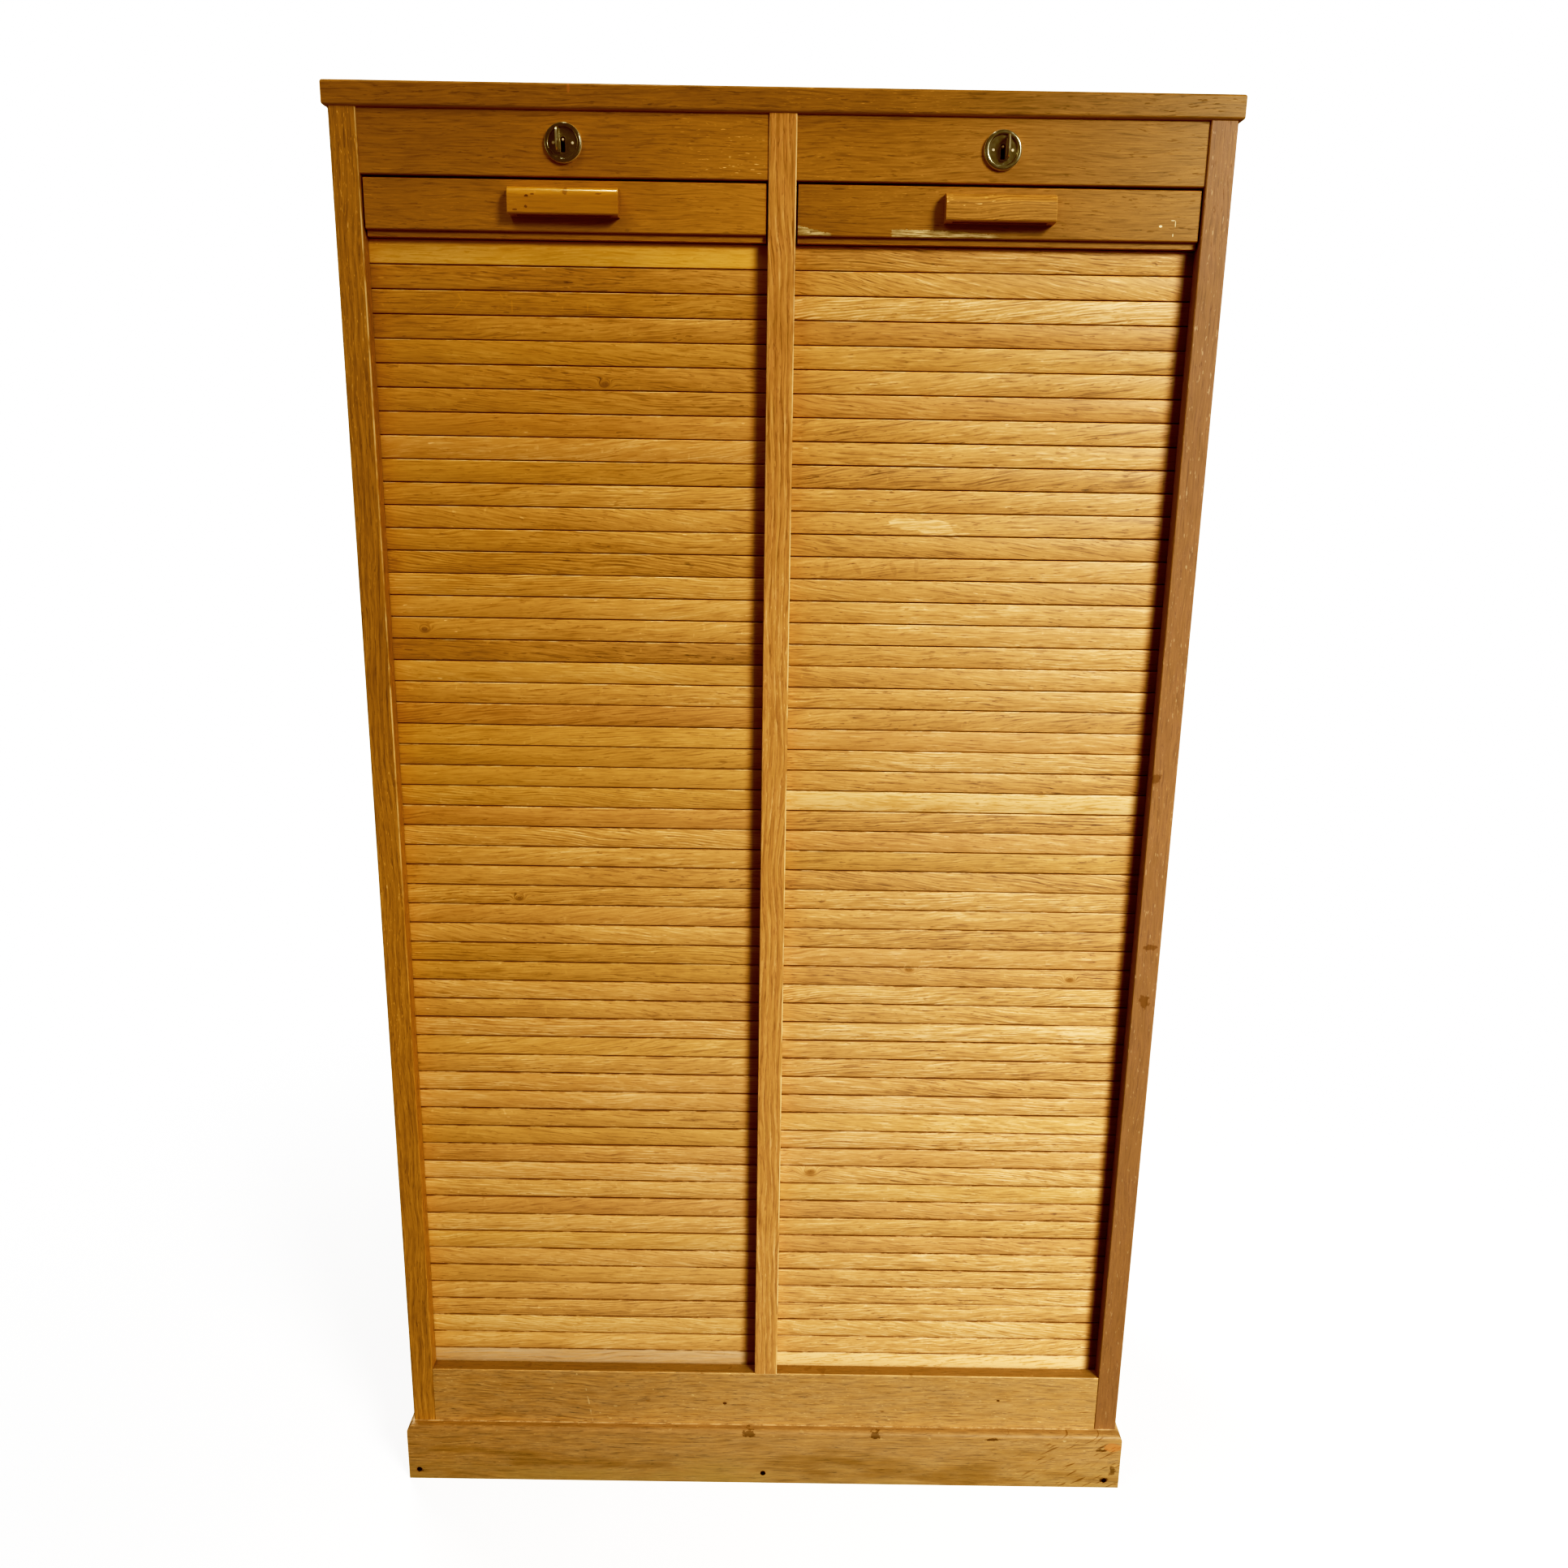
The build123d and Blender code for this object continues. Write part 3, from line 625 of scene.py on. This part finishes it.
def slat_oak():
    """Oak of the slats. Each has its own tone, grain and worn edges from the curtain's attributes."""
    n = Nodes("oak_slats")
    place = n.place()
    x, y, z = place
    seed, own, slope, figure, edge = (n.attribute(name) for name in SLAT_FIELDS)
    along = n.add(x, n.times(seed, 7.3))
    across = n.add(z, n.times(x, slope), n.times(seed, 3.1))
    depth = n.add(y, n.times(seed, 0.37))
    knots = 0.0
    for knot_x, knot_z, radius in SLAT_KNOTS:
        dx = n.times(n.add(x, -knot_x), 0.5 / radius)
        dz = n.times(n.add(z, -knot_z), 0.8 / radius)
        near = n.math("EXPONENT", n.times(n.add(n.times(dx, dx), n.times(dz, dz)), -1.0))
        knots = n.add(near, knots)
    across = n.add(across, n.times(knots, 0.014))
    grain = oak_grain(n, along, across, depth)
    low = n.step(z, *LOWER_SLATS)
    bolder = n.add(n.times(x, 0.9), n.times(low, 0.25), 1.0)
    value = n.add(n.times(oak_tone(n, grain, 0.0, 0.0, 2.1), bolder), 0.635)
    value = n.add(value, n.times(n.about(grain["ring"], 1.0), figure), n.times(own, 0.11))
    value = n.add(value, n.times(low, n.add(n.times(x, -0.05), 0.035)))
    value = n.add(value, n.about(n.noise((along, across, depth), (7.0, 30.0, 30.0), 2.0), 0.28))
    flecks = n.step(n.noise((along, across, seed), (170.0, 90.0, 3.0), 1.0), 0.68, 0.78)
    value = n.add(value, n.times(flecks, n.step(n.math("FRACT", n.times(seed, 17.0)), 0.45, 0.8), 0.09))
    nicks = n.step(n.noise((along, across, seed), (75.0, 330.0, 3.0), 1.0), 0.76, 0.80)
    value = n.add(value, n.times(nicks, 0.22))
    leant = n.add(z, n.times(n.add(x, -PALE_PATCH[0][0]), 0.12))
    pale = n.spot(x, leant, *PALE_PATCH, n.about(grain["mottle"], 2.8))
    value = n.add(value, n.times(pale, n.add(n.times(grain["streak"], 0.34), 0.03)))
    value = n.add(value, n.times(n.rays(x, z, DARK_RAYS), -0.09))
    colour = n.ramp(value, OAK_STOPS)
    hue = n.math("FRACT", n.times(seed, 29.0))
    colour = n.stain(n.times(n.step(hue, 0.6, 0.9), 0.24), colour, "yellow_slat")
    colour = n.stain(n.times(n.step(hue, 0.35, 0.1), 0.2), colour, "red_slat")
    first = n.times(n.step(z, *FIRST_SLAT), n.step(x, *LEFT_COLUMN))
    colour = n.stain(n.times(first, n.add(n.times(x, 0.7), 0.55)), colour, "first_slat")
    colour = n.stain(n.times(n.rays(x, z, PALE_RAYS), 0.4), colour, "pale_ray")
    # Painted light and sheen: paler towards the right and the foot
    colour = painted_light_gradient(n, place, colour, -0.65, "painted_light_slats", 0.5)
    heart = n.step(n.add(knots, n.about(grain["fine"], 1.2), n.about(grain["mottle"], 0.8)), 0.4, 1.0)
    colour = n.stain(n.times(heart, 0.6), colour, "knot")
    faded = n.times(n.step(z, *LAST_SLAT), n.step(x, *LEFT_COLUMN))
    colour = n.stain(n.times(faded, n.add(n.about(grain["streak"], 1.2), 0.5)), colour, "faded_slat")

    upper = n.limit(edge, 0.0, 1.0)
    lower = n.limit(n.times(edge, -1.0), 0.0, 1.0)
    rubbed = n.step(n.noise((along, across, depth), (16.0, 30.0, 30.0), 4.0, 0.7), 0.49, 0.58)
    rubbed = n.times(rubbed, n.add(n.times(low, -0.3), 0.5))
    colour = n.stain(n.times(upper, n.add(rubbed, 0.06)), colour, "rubbed_slat")
    joint = n.times(upper, low, n.add(n.times(rubbed, -2.0), 0.8))
    colour = n.stain(joint, colour, "slat_joint")
    # Painted shade: the lower bevel of each slat, which faces down, is darker
    colour = n.stain(n.times(lower, 0.15), colour, "slat_underside_shade")
    ends = n.times(n.step(x, *LEFT_SLAT_END), n.step(x, *LEFT_COLUMN), 0.55)
    ends = n.math("MAXIMUM", ends, n.times(n.step(x, *RIGHT_SLAT_END), 0.85))
    colour = n.stain(ends, colour, "shaded_end")
    # Dirt and painted shade: darker in the joints and corners around the slats
    dirt_and_shade = n.step(n.shut_in(0.004), 0.5, 0.98)
    colour = n.stain(n.times(dirt_and_shade, 0.4), colour, "slat_dirt_and_shade")
    return oak_finish(n, grain, colour, 0.44, upper, Coat_Weight=0.06, Coat_Roughness=0.3,
                      Specular_IOR_Level=0.35)


def plywood(name, tone, bare):
    """Rotary-cut plywood with broad cathedral figure, on the back."""
    n = Nodes(name)
    x, y, z = n.place()
    sway = n.noise((x, y, z), (5.0, 5.0, 0.9), 3.0, 0.45)
    ring = n.math("FRACT", n.add(n.times(sway, 16.0), n.times(x, 3.0)))
    fine = n.noise((x, y, z), (520.0, 520.0, 12.0), 3.0, 0.6)
    patch = n.noise((x, y, z), (6.0, 6.0, 2.0), 2.0)
    value = n.add(tone, n.about(ring, 0.12), n.about(fine, 0.2), n.about(patch, 0.16))
    colour = n.stain(bare, n.ramp(value, OAK_STOPS), "bare_plywood")
    # Dirt and painted shade: darker deep in corners, from ambient occlusion
    dirt_and_shade = n.times(n.step(n.shut_in(0.03), 0.3, 0.95), 0.5)
    colour = n.stain(dirt_and_shade, colour, "plywood_dirt_and_shade")
    return n.finish(colour, n.add(n.about(fine, 0.2), 0.62), fine, 0.0003, Specular_IOR_Level=0.25)


def canvas():
    """Plain woven canvas, glued behind the slats."""
    n = Nodes("canvas")
    x, y, z = n.place()
    warp = n.math("SINE", n.times(x, 6000.0))
    weft = n.math("SINE", n.times(z, 6000.0))
    weave = n.add(n.times(warp, weft, 0.5), 0.5)
    stain = n.noise((x, y, z), (9.0, 9.0, 9.0), 3.0)
    colour = n.stain(weave, linear(TINTS["canvas_shade"]), "canvas_thread")
    colour = n.stain(n.times(stain, 0.5), colour, "canvas_stain")
    return n.finish(colour, n.add(n.times(stain, 0.1), 0.82), weave, 0.0003, Specular_IOR_Level=0.2)


def lock_painted_highlights(n, place):
    """1 on the rivets and the outer rim of the lock rosettes, which a pale, matt colour paints as highlights.
    """
    x, _, z = place
    across = n.add(n.math("ABSOLUTE", x), -LOCK_X)
    up = n.add(z, -LOCK_HEIGHT)
    away = n.math("SQRT", n.add(n.times(across, across), n.times(up, up)))
    rivets = n.spot(n.math("ABSOLUTE", across), up, *RIVET)
    return n.math("MAXIMUM", rivets, n.step(away, *ROSETTE_RIM))


def pin_painted_highlights(n, place):
    """1 on the ends of the pins in the keyholes, which a painted highlight makes bright."""
    x, _, z = place
    return n.spot(n.math("ABSOLUTE", x), z, (LOCK_X, KEYHOLE_HEIGHT), PIN_HALF)


def metal(name, dark, bright, rough, polish, metallic=1.0, painted_highlights=None):
    """Aged metal, rubbed bright on its edges, with painted highlights in a pale, matt colour where they are
    given.
    """
    n = Nodes(name)
    place = n.place()
    blotch = n.noise(place, (160.0, 160.0, 160.0), 4.0, 0.6)
    scratch = n.noise(place, (900.0, 900.0, 120.0), 2.0, 0.6)
    edge = n.times(n.edges(0.0012, 4.0), polish)
    share = n.limit(n.add(n.about(blotch, 0.35), edge, 0.08), 0.0, 1.0)
    colour = n.mix(share, linear(dark), linear(bright))
    grime = n.step(n.shut_in(0.003), 0.5, 0.95)
    colour = n.stain(n.times(grime, 0.6), colour, "metal_grime")
    # Painted highlights: a pale, less metallic colour where they are given
    if painted_highlights:
        share = painted_highlights(n, place)
        colour = n.stain(n.times(share, 0.9), colour, "metal_painted_highlight")
        metallic = n.add(n.times(share, -0.8 * metallic), metallic)
    roughness = n.add(n.about(blotch, 0.15), n.about(scratch, 0.08), n.times(edge, -0.08), rough)
    return n.finish(colour, n.limit(roughness, 0.1, 0.9), n.add(blotch, n.times(scratch, 0.4)), 0.00005,
                    Metallic=metallic)


def dress(material, *nodes):
    """Give CAD nodes a material."""
    for name in nodes:
        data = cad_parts[name].data
        data.materials.clear()
        data.materials.append(material)


def both(*names):
    """Names of pieces that are on the left and on the right."""
    return [f"{side}_{name}" for name in names for side in ("left", "right")]


def dress_frame():
    """Materials of the CAD nodes that stay."""
    dress(oak("oak_top", "X", 0.38, drift=-0.16, wear=0.8, marks=[top_marks]), "top_board")
    edges = [arris_wear_and_highlight(-OUTER_POST_EDGE, share=0.75, foot=0.6)]
    dress(oak("oak_left_post", "Z", 0.49, figure=0.14, strength=1.2, faded=-0.35, marks=edges),
          "left_front_post")
    edges = [arris_wear_and_highlight(-CENTRE_POST_EDGE, share=0.4, foot=-0.5),
             arris_wear_and_highlight(CENTRE_POST_EDGE, share=0.75, foot=-0.5)]
    dress(oak("oak_centre_post", "Z", 0.61, figure=0.36, strength=2.0, faded=-0.4,
              wash=(0.24, "centre_post_wash"), marks=edges), "centre_front_post")
    dress(oak("oak_right_post", "Z", 0.31, strength=1.3, wash=(0.5, "right_post_wash"), marks=[post_marks]),
          "right_front_post")
    dress(oak("oak_left_fascia", "X", 0.48, scuff=0.45), "left_fascia")
    dress(oak("oak_right_fascia", "X", 0.43, drift=-0.12, scuff=0.15), "right_fascia")
    dress(oak("oak_left_lead", "X", 0.565, drift=0.24), "left_lead_rail")
    dress(oak("oak_right_lead", "X", 0.41, scuff=0.2, marks=[chip_marks]), "right_lead_rail")
    dress(oak("oak_left_handle", "X", 0.56, rough=0.2, coat=0.6, specular=0.5, wash=(0.42, "honey_wash"),
              marks=[handle_marks]), "left_handle")
    dress(oak("oak_right_handle", "X", 0.46, figure=0.2, rough=0.45, scuff=0.5), "right_handle")
    dress(oak("oak_rail", "X", 0.485, strength=2.2, faded=-0.45, wash=(0.2, "rail_wash"), marks=[rail_marks]),
          "bottom_rail")
    dress(oak("oak_plinth", "X", 0.45, strength=2.1, rough=0.5, wear=0.3, faded=-0.45,
              wash=(0.2, "plinth_wash"), marks=[plinth_marks]), "front_plinth")
    dress(oak("oak_plinth_side", "Y", 0.48, rough=0.5, wear=0.8), *both("plinth"))
    dress(oak("oak_plinth_rear", "X", 0.50, rough=0.55), "rear_plinth")
    dress(oak("oak_side_rail", "Y", 0.52), *both("side_rails"))
    dress(oak("oak_side_panel", "Z", 0.55, figure=0.16), *both("side_panels"))
    dress(oak("oak_rear_post", "Z", 0.50), *both("rear_post"))
    plain = {"rough": 0.58, "coat": 0.0, "specular": 0.25, "wear": 0.3, "scuff": 0.1, "strength": 1.9,
             "wash": (0.36, "bare_wash")}
    dress(oak("oak_partition", "Z", 0.72, **plain), "centre_partition")
    dress(oak("oak_shelf", "X", 0.74, **plain), *both("shelves", "floor_board"))
    dress(oak("oak_cleat", "Y", 0.68, **plain), "shelf_cleats")
    dress(plywood("plywood_inner", tone=0.8, bare=0.6), *both("inner_back"))
    dress(plywood("plywood_back", tone=0.6, bare=0.3), "back_panel")
    dress(metal("bronze", dark=(128, 124, 106), bright=(238, 236, 230), rough=0.24, polish=0.8, metallic=0.85,
                painted_highlights=lock_painted_highlights), *both("lock_rosette"))
    dress(metal("flap_brass", dark=(206, 196, 168), bright=(250, 246, 236), rough=0.22, polish=1.0,
                metallic=0.7), *both("lock_flap"))
    plain_steel = {"dark": (112, 110, 106), "bright": (206, 204, 198), "rough": 0.32, "polish": 0.6}
    dress(metal("steel", **plain_steel), *both("lock_bolt", "staple", "handle_screws"))
    dress(metal("steel_case", **plain_steel, metallic=0.8, painted_highlights=pin_painted_highlights), *both("lock_case"))


def slat_outline(height, thickness):
    """Points of a slat's section from the upper back edge round the front, and how far each is on a bevel."""
    upper = [(y, -drop, edge) for y, drop, edge in SLAT_BEVEL]
    share = LOWER_BEVEL_SHARE
    lower = [(y * share, drop * share - height, -edge) for y, drop, edge in reversed(SLAT_BEVEL)]
    return [(thickness, 0.0, 0.0), *upper, *lower, (thickness, -height, 0.0)]


def slat_faces(first, ring):
    """Faces of one slat along its sections, which have a ring of points each, and its two ends."""
    faces = []
    for k in range(SLAT_STEPS):
        for j in range(ring):
            a, b = first + k * ring + j, first + k * ring + (j + 1) % ring
            faces.append((a, a + ring, b + ring, b))
    faces.append([first + j for j in range(ring)])
    faces.append([first + SLAT_STEPS * ring + j for j in reversed(range(ring))])
    return faces


def fixed_piece(mesh):
    """A piece on the carcass, smooth but for its sharp edges, named as its mesh is."""
    mesh.shade_smooth()
    mesh.set_sharp_from_angle(angle=SMOOTH_ANGLE)
    mesh.update()
    piece = bpy.data.objects.new(mesh.name, mesh)
    scene.collection.objects.link(piece)
    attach(piece, "carcass")
    return piece


def curtain(side, materials):
    """All the slats of one tambour, and the canvas behind them, as one mesh."""
    low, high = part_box(f"{side}_slats_{GROUPS}")[0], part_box(f"{side}_slats_1")[1]
    front, back = low.y, high.y - CANVAS_THICKNESS
    pitch = (high.z - low.z + SLAT_GAP) / SLATS
    chance = random.Random(f"slats {side}")
    points, faces = [], []
    values = {name: [] for name in SLAT_FIELDS}
    for i in range(SLATS):
        usual = max(-TONE_LIMIT, min(TONE_LIMIT, chance.gauss(0.0, TONE_SPREAD)))
        tone = SLAT_TONES[side].get(i + 1, usual)
        seed = chance.random()
        slope = chance.gauss(0.0, GRAIN_SLOPE)
        figure = chance.choice(GRAIN_FIGURES)
        tilt = chance.gauss(0.0, SLAT_TILT)
        inwards = chance.uniform(0.0, SLAT_DEPTH_SPREAD)
        shrink = chance.uniform(0.0, SLAT_SHRINKAGE)
        waves = [(chance.uniform(2, 14), chance.uniform(0, math.tau), chance.uniform(0.3, 1))
                 for _ in range(SLAT_WAVES)]
        upper, lower = (high.z - k * pitch - math.sin(math.tau * k / SLATS) * SLAT_CREEP for k in (i, i + 1))
        outline = slat_outline(upper - lower - SLAT_GAP - shrink, back - front - inwards)
        top = upper - shrink / 2
        first = len(points)
        for k in range(SLAT_STEPS + 1):
            x = low.x + (high.x - low.x) * k / SLAT_STEPS
            sway = sum(math.sin(f * x + p) * s for f, p, s in waves) * SLAT_SWAY
            for y, z, edge in outline:
                lean = tilt * (z + pitch / 2) if y < back - front - inwards else 0.0
                set_back = inwards + max(y + lean + sway, -inwards)
                points.append((x, front + set_back, top + z + sway * SLAT_RISE_SHARE))
                for key, value in zip(values, (seed, tone, slope, figure, edge)):
                    values[key].append(value)
        faces += slat_faces(first, len(outline))
    shades = [0] * len(faces) + [1] * len(BOX_FACES)
    first = len(points)
    for x in (low.x + CANVAS_MARGIN, high.x - CANVAS_MARGIN):
        for y in (back, high.y):
            for z in (low.z, high.z):
                points.append((x, y, z))
                for key in values:
                    values[key].append(0.0)
    faces += [[first + corner for corner in face] for face in BOX_FACES]

    mesh = bpy.data.meshes.new(f"{side}_curtain")
    mesh.from_pydata(points, [], faces)
    for key, numbers in values.items():
        mesh.attributes.new(key, "FLOAT", "POINT").data.foreach_set("value", numbers)
    for material in materials:
        mesh.materials.append(material)
    mesh.polygons.foreach_set("material_index", shades)
    piece = fixed_piece(mesh)
    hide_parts(*[f"{side}_slats_{k + 1}" for k in range(GROUPS)])
    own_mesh(piece)


def nails(name, heads, material):
    """Low domed nail heads, each given as its place, the way it faces and its radius."""
    points, faces = [], []
    sides = NAIL_SIDES
    for place, facing, radius in heads:
        turn = Vector(facing).to_track_quat("Z", "Y")
        first = len(points)
        for share, rise in NAIL_RINGS:
            for k in range(sides):
                angle = math.tau * k / sides
                spot = Vector((math.cos(angle) * radius * share, math.sin(angle) * radius * share, rise))
                points.append(Vector(place) + turn @ spot)
        points.append(Vector(place) + turn @ Vector((0, 0, NAIL_HEIGHT)))
        last = len(NAIL_RINGS) - 1
        for ring in range(last):
            for k in range(sides):
                a, b = first + ring * sides + k, first + ring * sides + (k + 1) % sides
                faces.append((a, b, b + sides, a + sides))
        for k in range(sides):
            faces.append((first + last * sides + k, first + last * sides + (k + 1) % sides, len(points) - 1))
        faces.append([first + k for k in reversed(range(sides))])
    mesh = bpy.data.meshes.new(name)
    mesh.from_pydata(points, [], faces)
    mesh.materials.append(material)
    piece = fixed_piece(mesh)


def add_nails():
    """Rusty nails in the plinth's front, and the nails of the back panel."""
    rust = metal("rusty_nail", (34, 20, 12), (92, 66, 48), rough=0.6, polish=0.5)
    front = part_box("front_plinth")[0].y
    nails("plinth_nails", [((x, front, z), (0, -1, 0), PLINTH_NAIL_RADIUS) for x, z in PLINTH_NAILS], rust)
    low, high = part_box("back_panel")
    left, right = low.x + BACK_NAIL_INSET, high.x - BACK_NAIL_INSET
    foot, head = low.z + BACK_NAIL_INSET, high.z - BACK_NAIL_INSET
    across = round((right - left) / BACK_NAIL_SPACING)
    upwards = round((head - foot) / BACK_NAIL_SPACING)
    places = []
    for k in range(across + 1):
        places += [(left + (right - left) * k / across, z) for z in (foot, head)]
    for k in range(1, upwards):
        places += [(x, foot + (head - foot) * k / upwards) for x in (left, 0.0, right)]
    nails("back_panel_nails", [((x, high.y, z), (0, 1, 0), BACK_NAIL_RADIUS) for x, z in places], rust)


def add_camera():
    """The photograph's camera."""
    level = math.cos(CAMERA_PITCH)
    ahead = Vector((math.sin(CAMERA_YAW) * level, math.cos(CAMERA_YAW) * level, -math.sin(CAMERA_PITCH)))
    right = Vector((math.cos(CAMERA_YAW), -math.sin(CAMERA_YAW), 0.0))
    down = ahead.cross(right)
    x_axis = math.cos(CAMERA_ROLL) * right + math.sin(CAMERA_ROLL) * down
    y_axis = math.sin(CAMERA_ROLL) * right - math.cos(CAMERA_ROLL) * down
    turn = Matrix((x_axis, y_axis, -ahead)).transposed().to_4x4()
    data = bpy.data.cameras.new("camera")
    data.sensor_width = SENSOR_WIDTH
    data.lens = SENSOR_WIDTH * FOCAL_PIXELS / PHOTO_PIXELS
    camera = bpy.data.objects.new("camera", data)
    camera.matrix_world = Matrix.Translation(CAMERA_PLACE) @ turn
    scene.collection.objects.link(camera)
    scene.camera = camera


def aimed_light(name, kind, place, target, power, colour, **settings):
    """A light that looks from a place to a target."""
    data = bpy.data.lights.new(name, kind)
    data.energy = power
    data.color = colour
    for key, value in settings.items():
        setattr(data, key, value)
    light = bpy.data.objects.new(name, data)
    light.location = place
    light.rotation_euler = (Vector(target) - Vector(place)).to_track_quat("-Z", "Y").to_euler()
    scene.collection.objects.link(light)
    return light


def add_floor():
    """A pale floor that fades into the white surroundings."""
    n = Nodes("floor")
    x, y, z = n.place()
    mottle = n.noise((x, y, z), (3.0, 3.0, 3.0))
    shader = n.node("ShaderNodeBsdfPrincipled", {
        "Base Color": n.mix(mottle, (0.24, 0.24, 0.24, 1), (0.26, 0.26, 0.26, 1)),
        "Roughness": 0.9,
        "Specular IOR Level": 0.1,
        "Emission Color": (1.0, 1.0, 1.0, 1.0),
        "Emission Strength": FLOOR_GLOW,
    })
    away = n.math("SQRT", n.add(n.times(x, x), n.times(y, y)))
    clear = n.node("ShaderNodeBsdfTransparent", {})
    inputs = {0: n.step(away, *FLOOR_FADE), 1: shader.outputs[0], 2: clear.outputs[0]}
    faded = n.node("ShaderNodeMixShader", inputs)
    n.put(n.node("ShaderNodeOutputMaterial", {}).inputs["Surface"], faded.outputs[0])
    half = FLOOR_HALF
    mesh = bpy.data.meshes.new("floor")
    corners = [(-half, -half, 0), (half, -half, 0), (half, half, 0), (-half, half, 0)]
    mesh.from_pydata(corners, [], [(0, 1, 2, 3)])
    mesh.materials.append(n.material)
    floor = bpy.data.objects.new("floor", mesh)
    floor.visible_diffuse = False
    floor.visible_glossy = False
    scene.collection.objects.link(floor)


def add_surroundings():
    """White to the camera, and a dim even light for the cabinet."""
    world = bpy.data.worlds.new("studio")
    world.use_nodes = True
    tree = world.node_tree
    tree.nodes.clear()
    seen = tree.nodes.new("ShaderNodeBackground")
    seen.inputs["Color"].default_value = (1.0, 1.0, 1.0, 1.0)
    seen.inputs["Strength"].default_value = 1.0
    fill = tree.nodes.new("ShaderNodeBackground")
    fill.inputs["Color"].default_value = (1.0, 0.95, 0.88, 1.0)
    fill.inputs["Strength"].default_value = SURROUND_LIGHT
    which = tree.nodes.new("ShaderNodeLightPath")
    mixed = tree.nodes.new("ShaderNodeMixShader")
    output = tree.nodes.new("ShaderNodeOutputWorld")
    tree.links.new(which.outputs["Is Camera Ray"], mixed.inputs[0])
    tree.links.new(fill.outputs[0], mixed.inputs[1])
    tree.links.new(seen.outputs[0], mixed.inputs[2])
    tree.links.new(mixed.outputs[0], output.inputs["Surface"])
    scene.world = world


def add_lights():
    """The main light from the right, lamps overhead, a soft light behind, and strips that gleam in polish."""
    aimed_light("key", "SPOT", place=(3.325, -4.387, 3.38), target=(2.318, -0.2, -0.488), power=2330.0,
                colour=(1.0, 0.98, 0.94), spot_size=math.radians(82.0), spot_blend=1.0, shadow_soft_size=1.1)
    aimed_light("overhead", "AREA", place=(-0.33, -0.42, 3.6), target=(-0.2, -0.22, 1.6), power=7.0,
                colour=(1.0, 0.99, 0.97), size=0.3)
    ceiling = aimed_light("ceiling", "AREA", place=(-0.9, -1.2, 3.2), target=(-0.25, -0.2, 1.5), power=10.5,
                          colour=(1.0, 0.96, 0.9), size=0.8)
    ceiling.visible_glossy = False
    aimed_light("back_fill", "AREA", place=(-2.2, 3.0, 2.4), target=(0.0, 0.2, 0.8), power=100.0,
                colour=(0.97, 0.98, 1.0), size=2.0)
    for name, side in (("left_strip", -1), ("right_strip", 1)):
        strip = aimed_light(name, "AREA", place=(side * 2.6, -2.2, 1.7), target=(0.0, -0.2, 1.6), power=9.0,
                            colour=(1.0, 0.98, 0.95), shape="RECTANGLE", size=0.5, size_y=1.5)
        strip.visible_diffuse = False


def set_contrast():
    """A camera's contrast: deep shadows, strong colours and soft highlights."""
    view = scene.view_settings
    view.view_transform = "Standard"
    view.use_curve_mapping = True
    curves = view.curve_mapping.curves
    shoulder = CONTRAST_MIDDLE ** CONTRAST_POWER
    for light in CONTRAST_STEPS:
        squared = light ** CONTRAST_POWER
        curves[3].points.new(light, (1 + shoulder) * squared / (squared + shoulder))
        dim = light / SHADOW_LIGHT * math.exp(1 - light / SHADOW_LIGHT)
        for curve, toe, lift in zip(curves, CONTRAST_TOES, SHADOW_LIFTS):
            over = (light - toe) / (1 - toe)
            curve.points.new(light, max(over, light * CONTRAST_FLOOR) + lift * dim)
    view.curve_mapping.update()


set_contrast()
add_camera()
add_floor()
add_surroundings()
add_lights()
dress_frame()
slat_materials = (slat_oak(), canvas())
for column in ("left", "right"):
    curtain(column, slat_materials)
add_nails()
